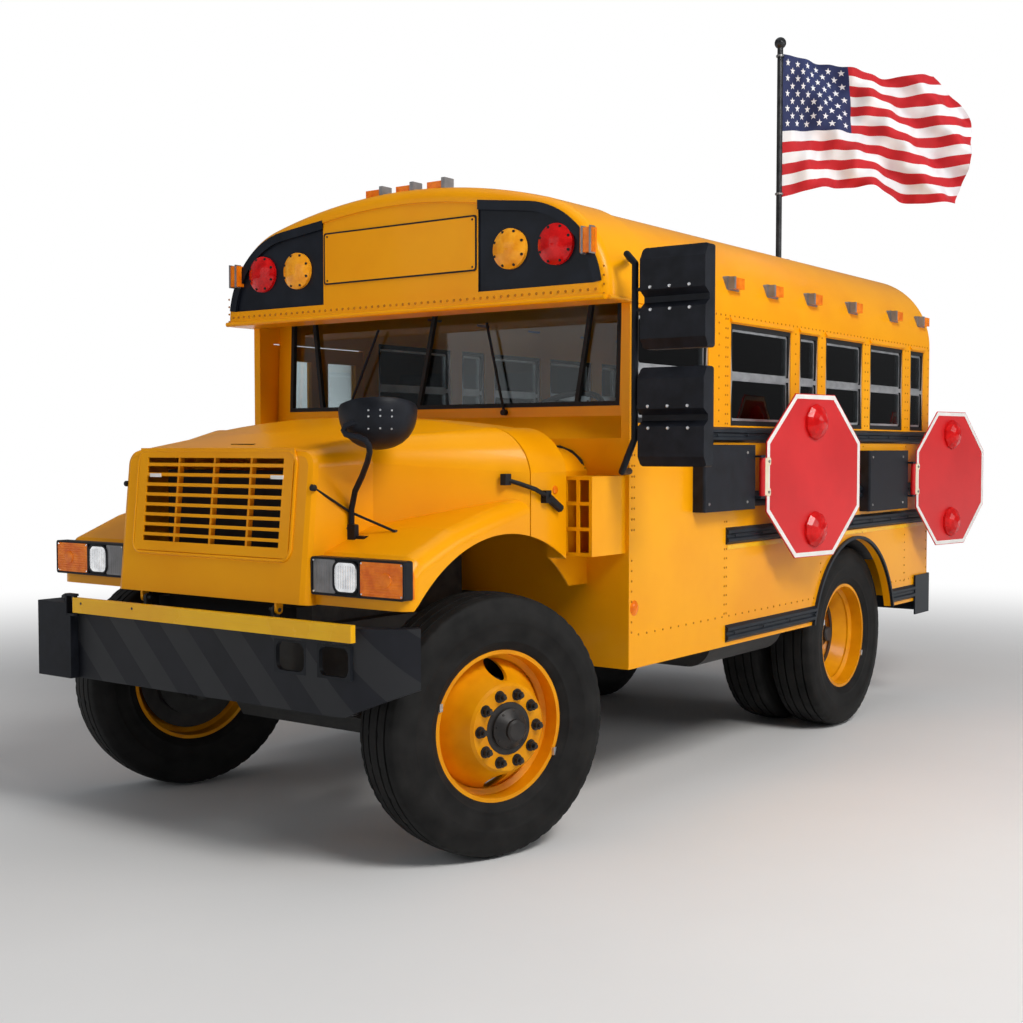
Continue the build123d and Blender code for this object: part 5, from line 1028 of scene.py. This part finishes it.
def bench(name, x0, x1, y, low, top):
    """Cushion and back of a seat whose front edge is at y; the cushion is given back."""
    def corners(*edges):
        return [(x, y + dy, z) for (dy_0, z_0), (dy_1, z_1) in (edges[:2], edges[2:])
                for x, dy, z in ((x0, dy_0, z_0), (x1, dy_0, z_0), (x1, dy_1, z_1), (x0, dy_1, z_1))]

    cushion = pad(f"{name}_cushion", corners((0, low), (0.37, low), (0, low + 0.125), (0.31, low + 0.115)))
    pad(f"{name}_back", corners((0.325, low + 0.13), (0.42, low + 0.02), (0.482, top - 0.004), (0.556, top - 0.008)))
    return cushion


cushions = []
for i, y in enumerate((1.8, 2.48, 3.16, 3.84)):
    for side, word in LEFT_AND_RIGHT:
        cushions.append(bench(f"row_{i + 1}_{word}", *span(side, 0.235, 1.155), y, 1.352, 1.898))
bench("driver", 0.385, 0.855, 1.152, 1.482, 1.898)
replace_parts(cushions[0], "seats")

# Camera, floor and light

CAMERA_TURN, CAMERA_DIP = math.radians(36.3), math.radians(2.6)
camera_data = bpy.data.cameras.new("camera")
camera_data.lens = 49.27
camera_data.sensor_width = 36
camera = bpy.data.objects.new("camera", camera_data)
scene = bpy.context.scene
scene.collection.objects.link(camera)
aim = Vector((-math.sin(CAMERA_TURN), math.cos(CAMERA_TURN), -math.tan(CAMERA_DIP)))
camera.location = Vector((4.561, -4.709, 1.706)) + SHIFT
camera.rotation_mode = "QUATERNION"
camera.rotation_quaternion = aim.to_track_quat("-Z", "Y")
scene.camera = camera
scene.view_settings.view_transform = "Standard"
world = bpy.data.worlds.new("studio")
scene.world = world
world.use_nodes = True
sky = world.node_tree
background = sky.nodes["Background"]
background.inputs["Strength"].default_value = 0.3
way = node(sky, "LightPath")
white = node(sky, "Background", Color=(1, 1, 1, 1), Strength=1)
height = node(sky, "TexCoord")
split = node(sky, "SeparateXYZ")
shade = colour_ramp(sky, (0.16, 0.16, 0.17), (0.7, 0.72, 0.75), 0.46, 0.62)
lift = node(sky, "MapRange", From_Min=-1)
seen = node(sky, "Math", "MAXIMUM")
pick = node(sky, "MixShader")
join(sky, (height, "Generated", split, "Vector"), (split, "Z", lift, "Value"), (lift, "Result", shade, "Fac"),
     (shade, "Color", background, "Color"), (way, "Is Camera Ray", seen, 0), (way, "Is Transmission Ray", seen, 1),
     (seen, "Value", pick, "Fac"), (background, "Background", pick, 1), (white, "Background", pick, 2),
     (pick, "Shader", sky.nodes["World Output"], "Surface"))


def area_light(name, place, target, size, power, colour=(1, 1, 1)):
    """A rectangular light at place that shines at target."""
    data = bpy.data.lights.new(name, "AREA")
    data.shape = "RECTANGLE"
    data.size, data.size_y = size
    data.energy = power
    data.color = colour
    lamp = bpy.data.objects.new(name, data)
    scene.collection.objects.link(lamp)
    lamp.location = place
    lamp.rotation_mode = "QUATERNION"
    lamp.rotation_quaternion = (Vector(target) - Vector(place)).to_track_quat("-Z", "Y")


area_light("key", (7.5, -3.5, 8.0), (0.5, -0.5, 1.2), (3.2, 3.2), 640, (1, 0.98, 0.95))
area_light("side", (9, 3.0, 4.0), (1.2, 0.5, 1.5), (5, 3), 165)
area_light("front_fill", (-3.5, -9.0, 4.0), (0, -1.5, 1.2), (5, 4), 62, (0.95, 0.98, 1))
area_light("top", (0, 0, 9.5), (0, 0, 2), (7, 7), 110)

HALF_FLOOR, FLOOR_Z = 60, -0.001
floor_mesh = bpy.data.meshes.new("studio_floor")
floor_mesh.from_pydata([(x * HALF_FLOOR, y * HALF_FLOOR, FLOOR_Z) for x, y in ((-1, -1), (1, -1), (1, 1), (-1, 1))], [],
                       [(0, 1, 2, 3)])
studio_floor = bpy.data.objects.new("studio_floor", floor_mesh)
scene.collection.objects.link(studio_floor)
pale = material("pale_floor", (0.8, 0.8, 0.8), (0.84, 0.84, 0.84), (0.6, 0.7), scale=0.5, bump=0.01, spec=0.2)
tree = pale.node_tree
far = node(tree, "VectorMath", "LENGTH")
fade = node(tree, "MapRange", From_Min=3.5, From_Max=11)
fade.interpolation_type = "SMOOTHSTEP"
glow = node(tree, "Emission")
blend = node(tree, "MixShader")
join(tree, (first_node(tree, "TEX_COORD"), "Object", far, 0), (far, "Value", fade, "Value"),
     (fade, "Result", blend, "Fac"), (shader_of(pale), "BSDF", blend, 1), (glow, "Emission", blend, 2),
     (blend, "Shader", tree.nodes["Material Output"], "Surface"))
studio_floor.data.materials.append(pale)
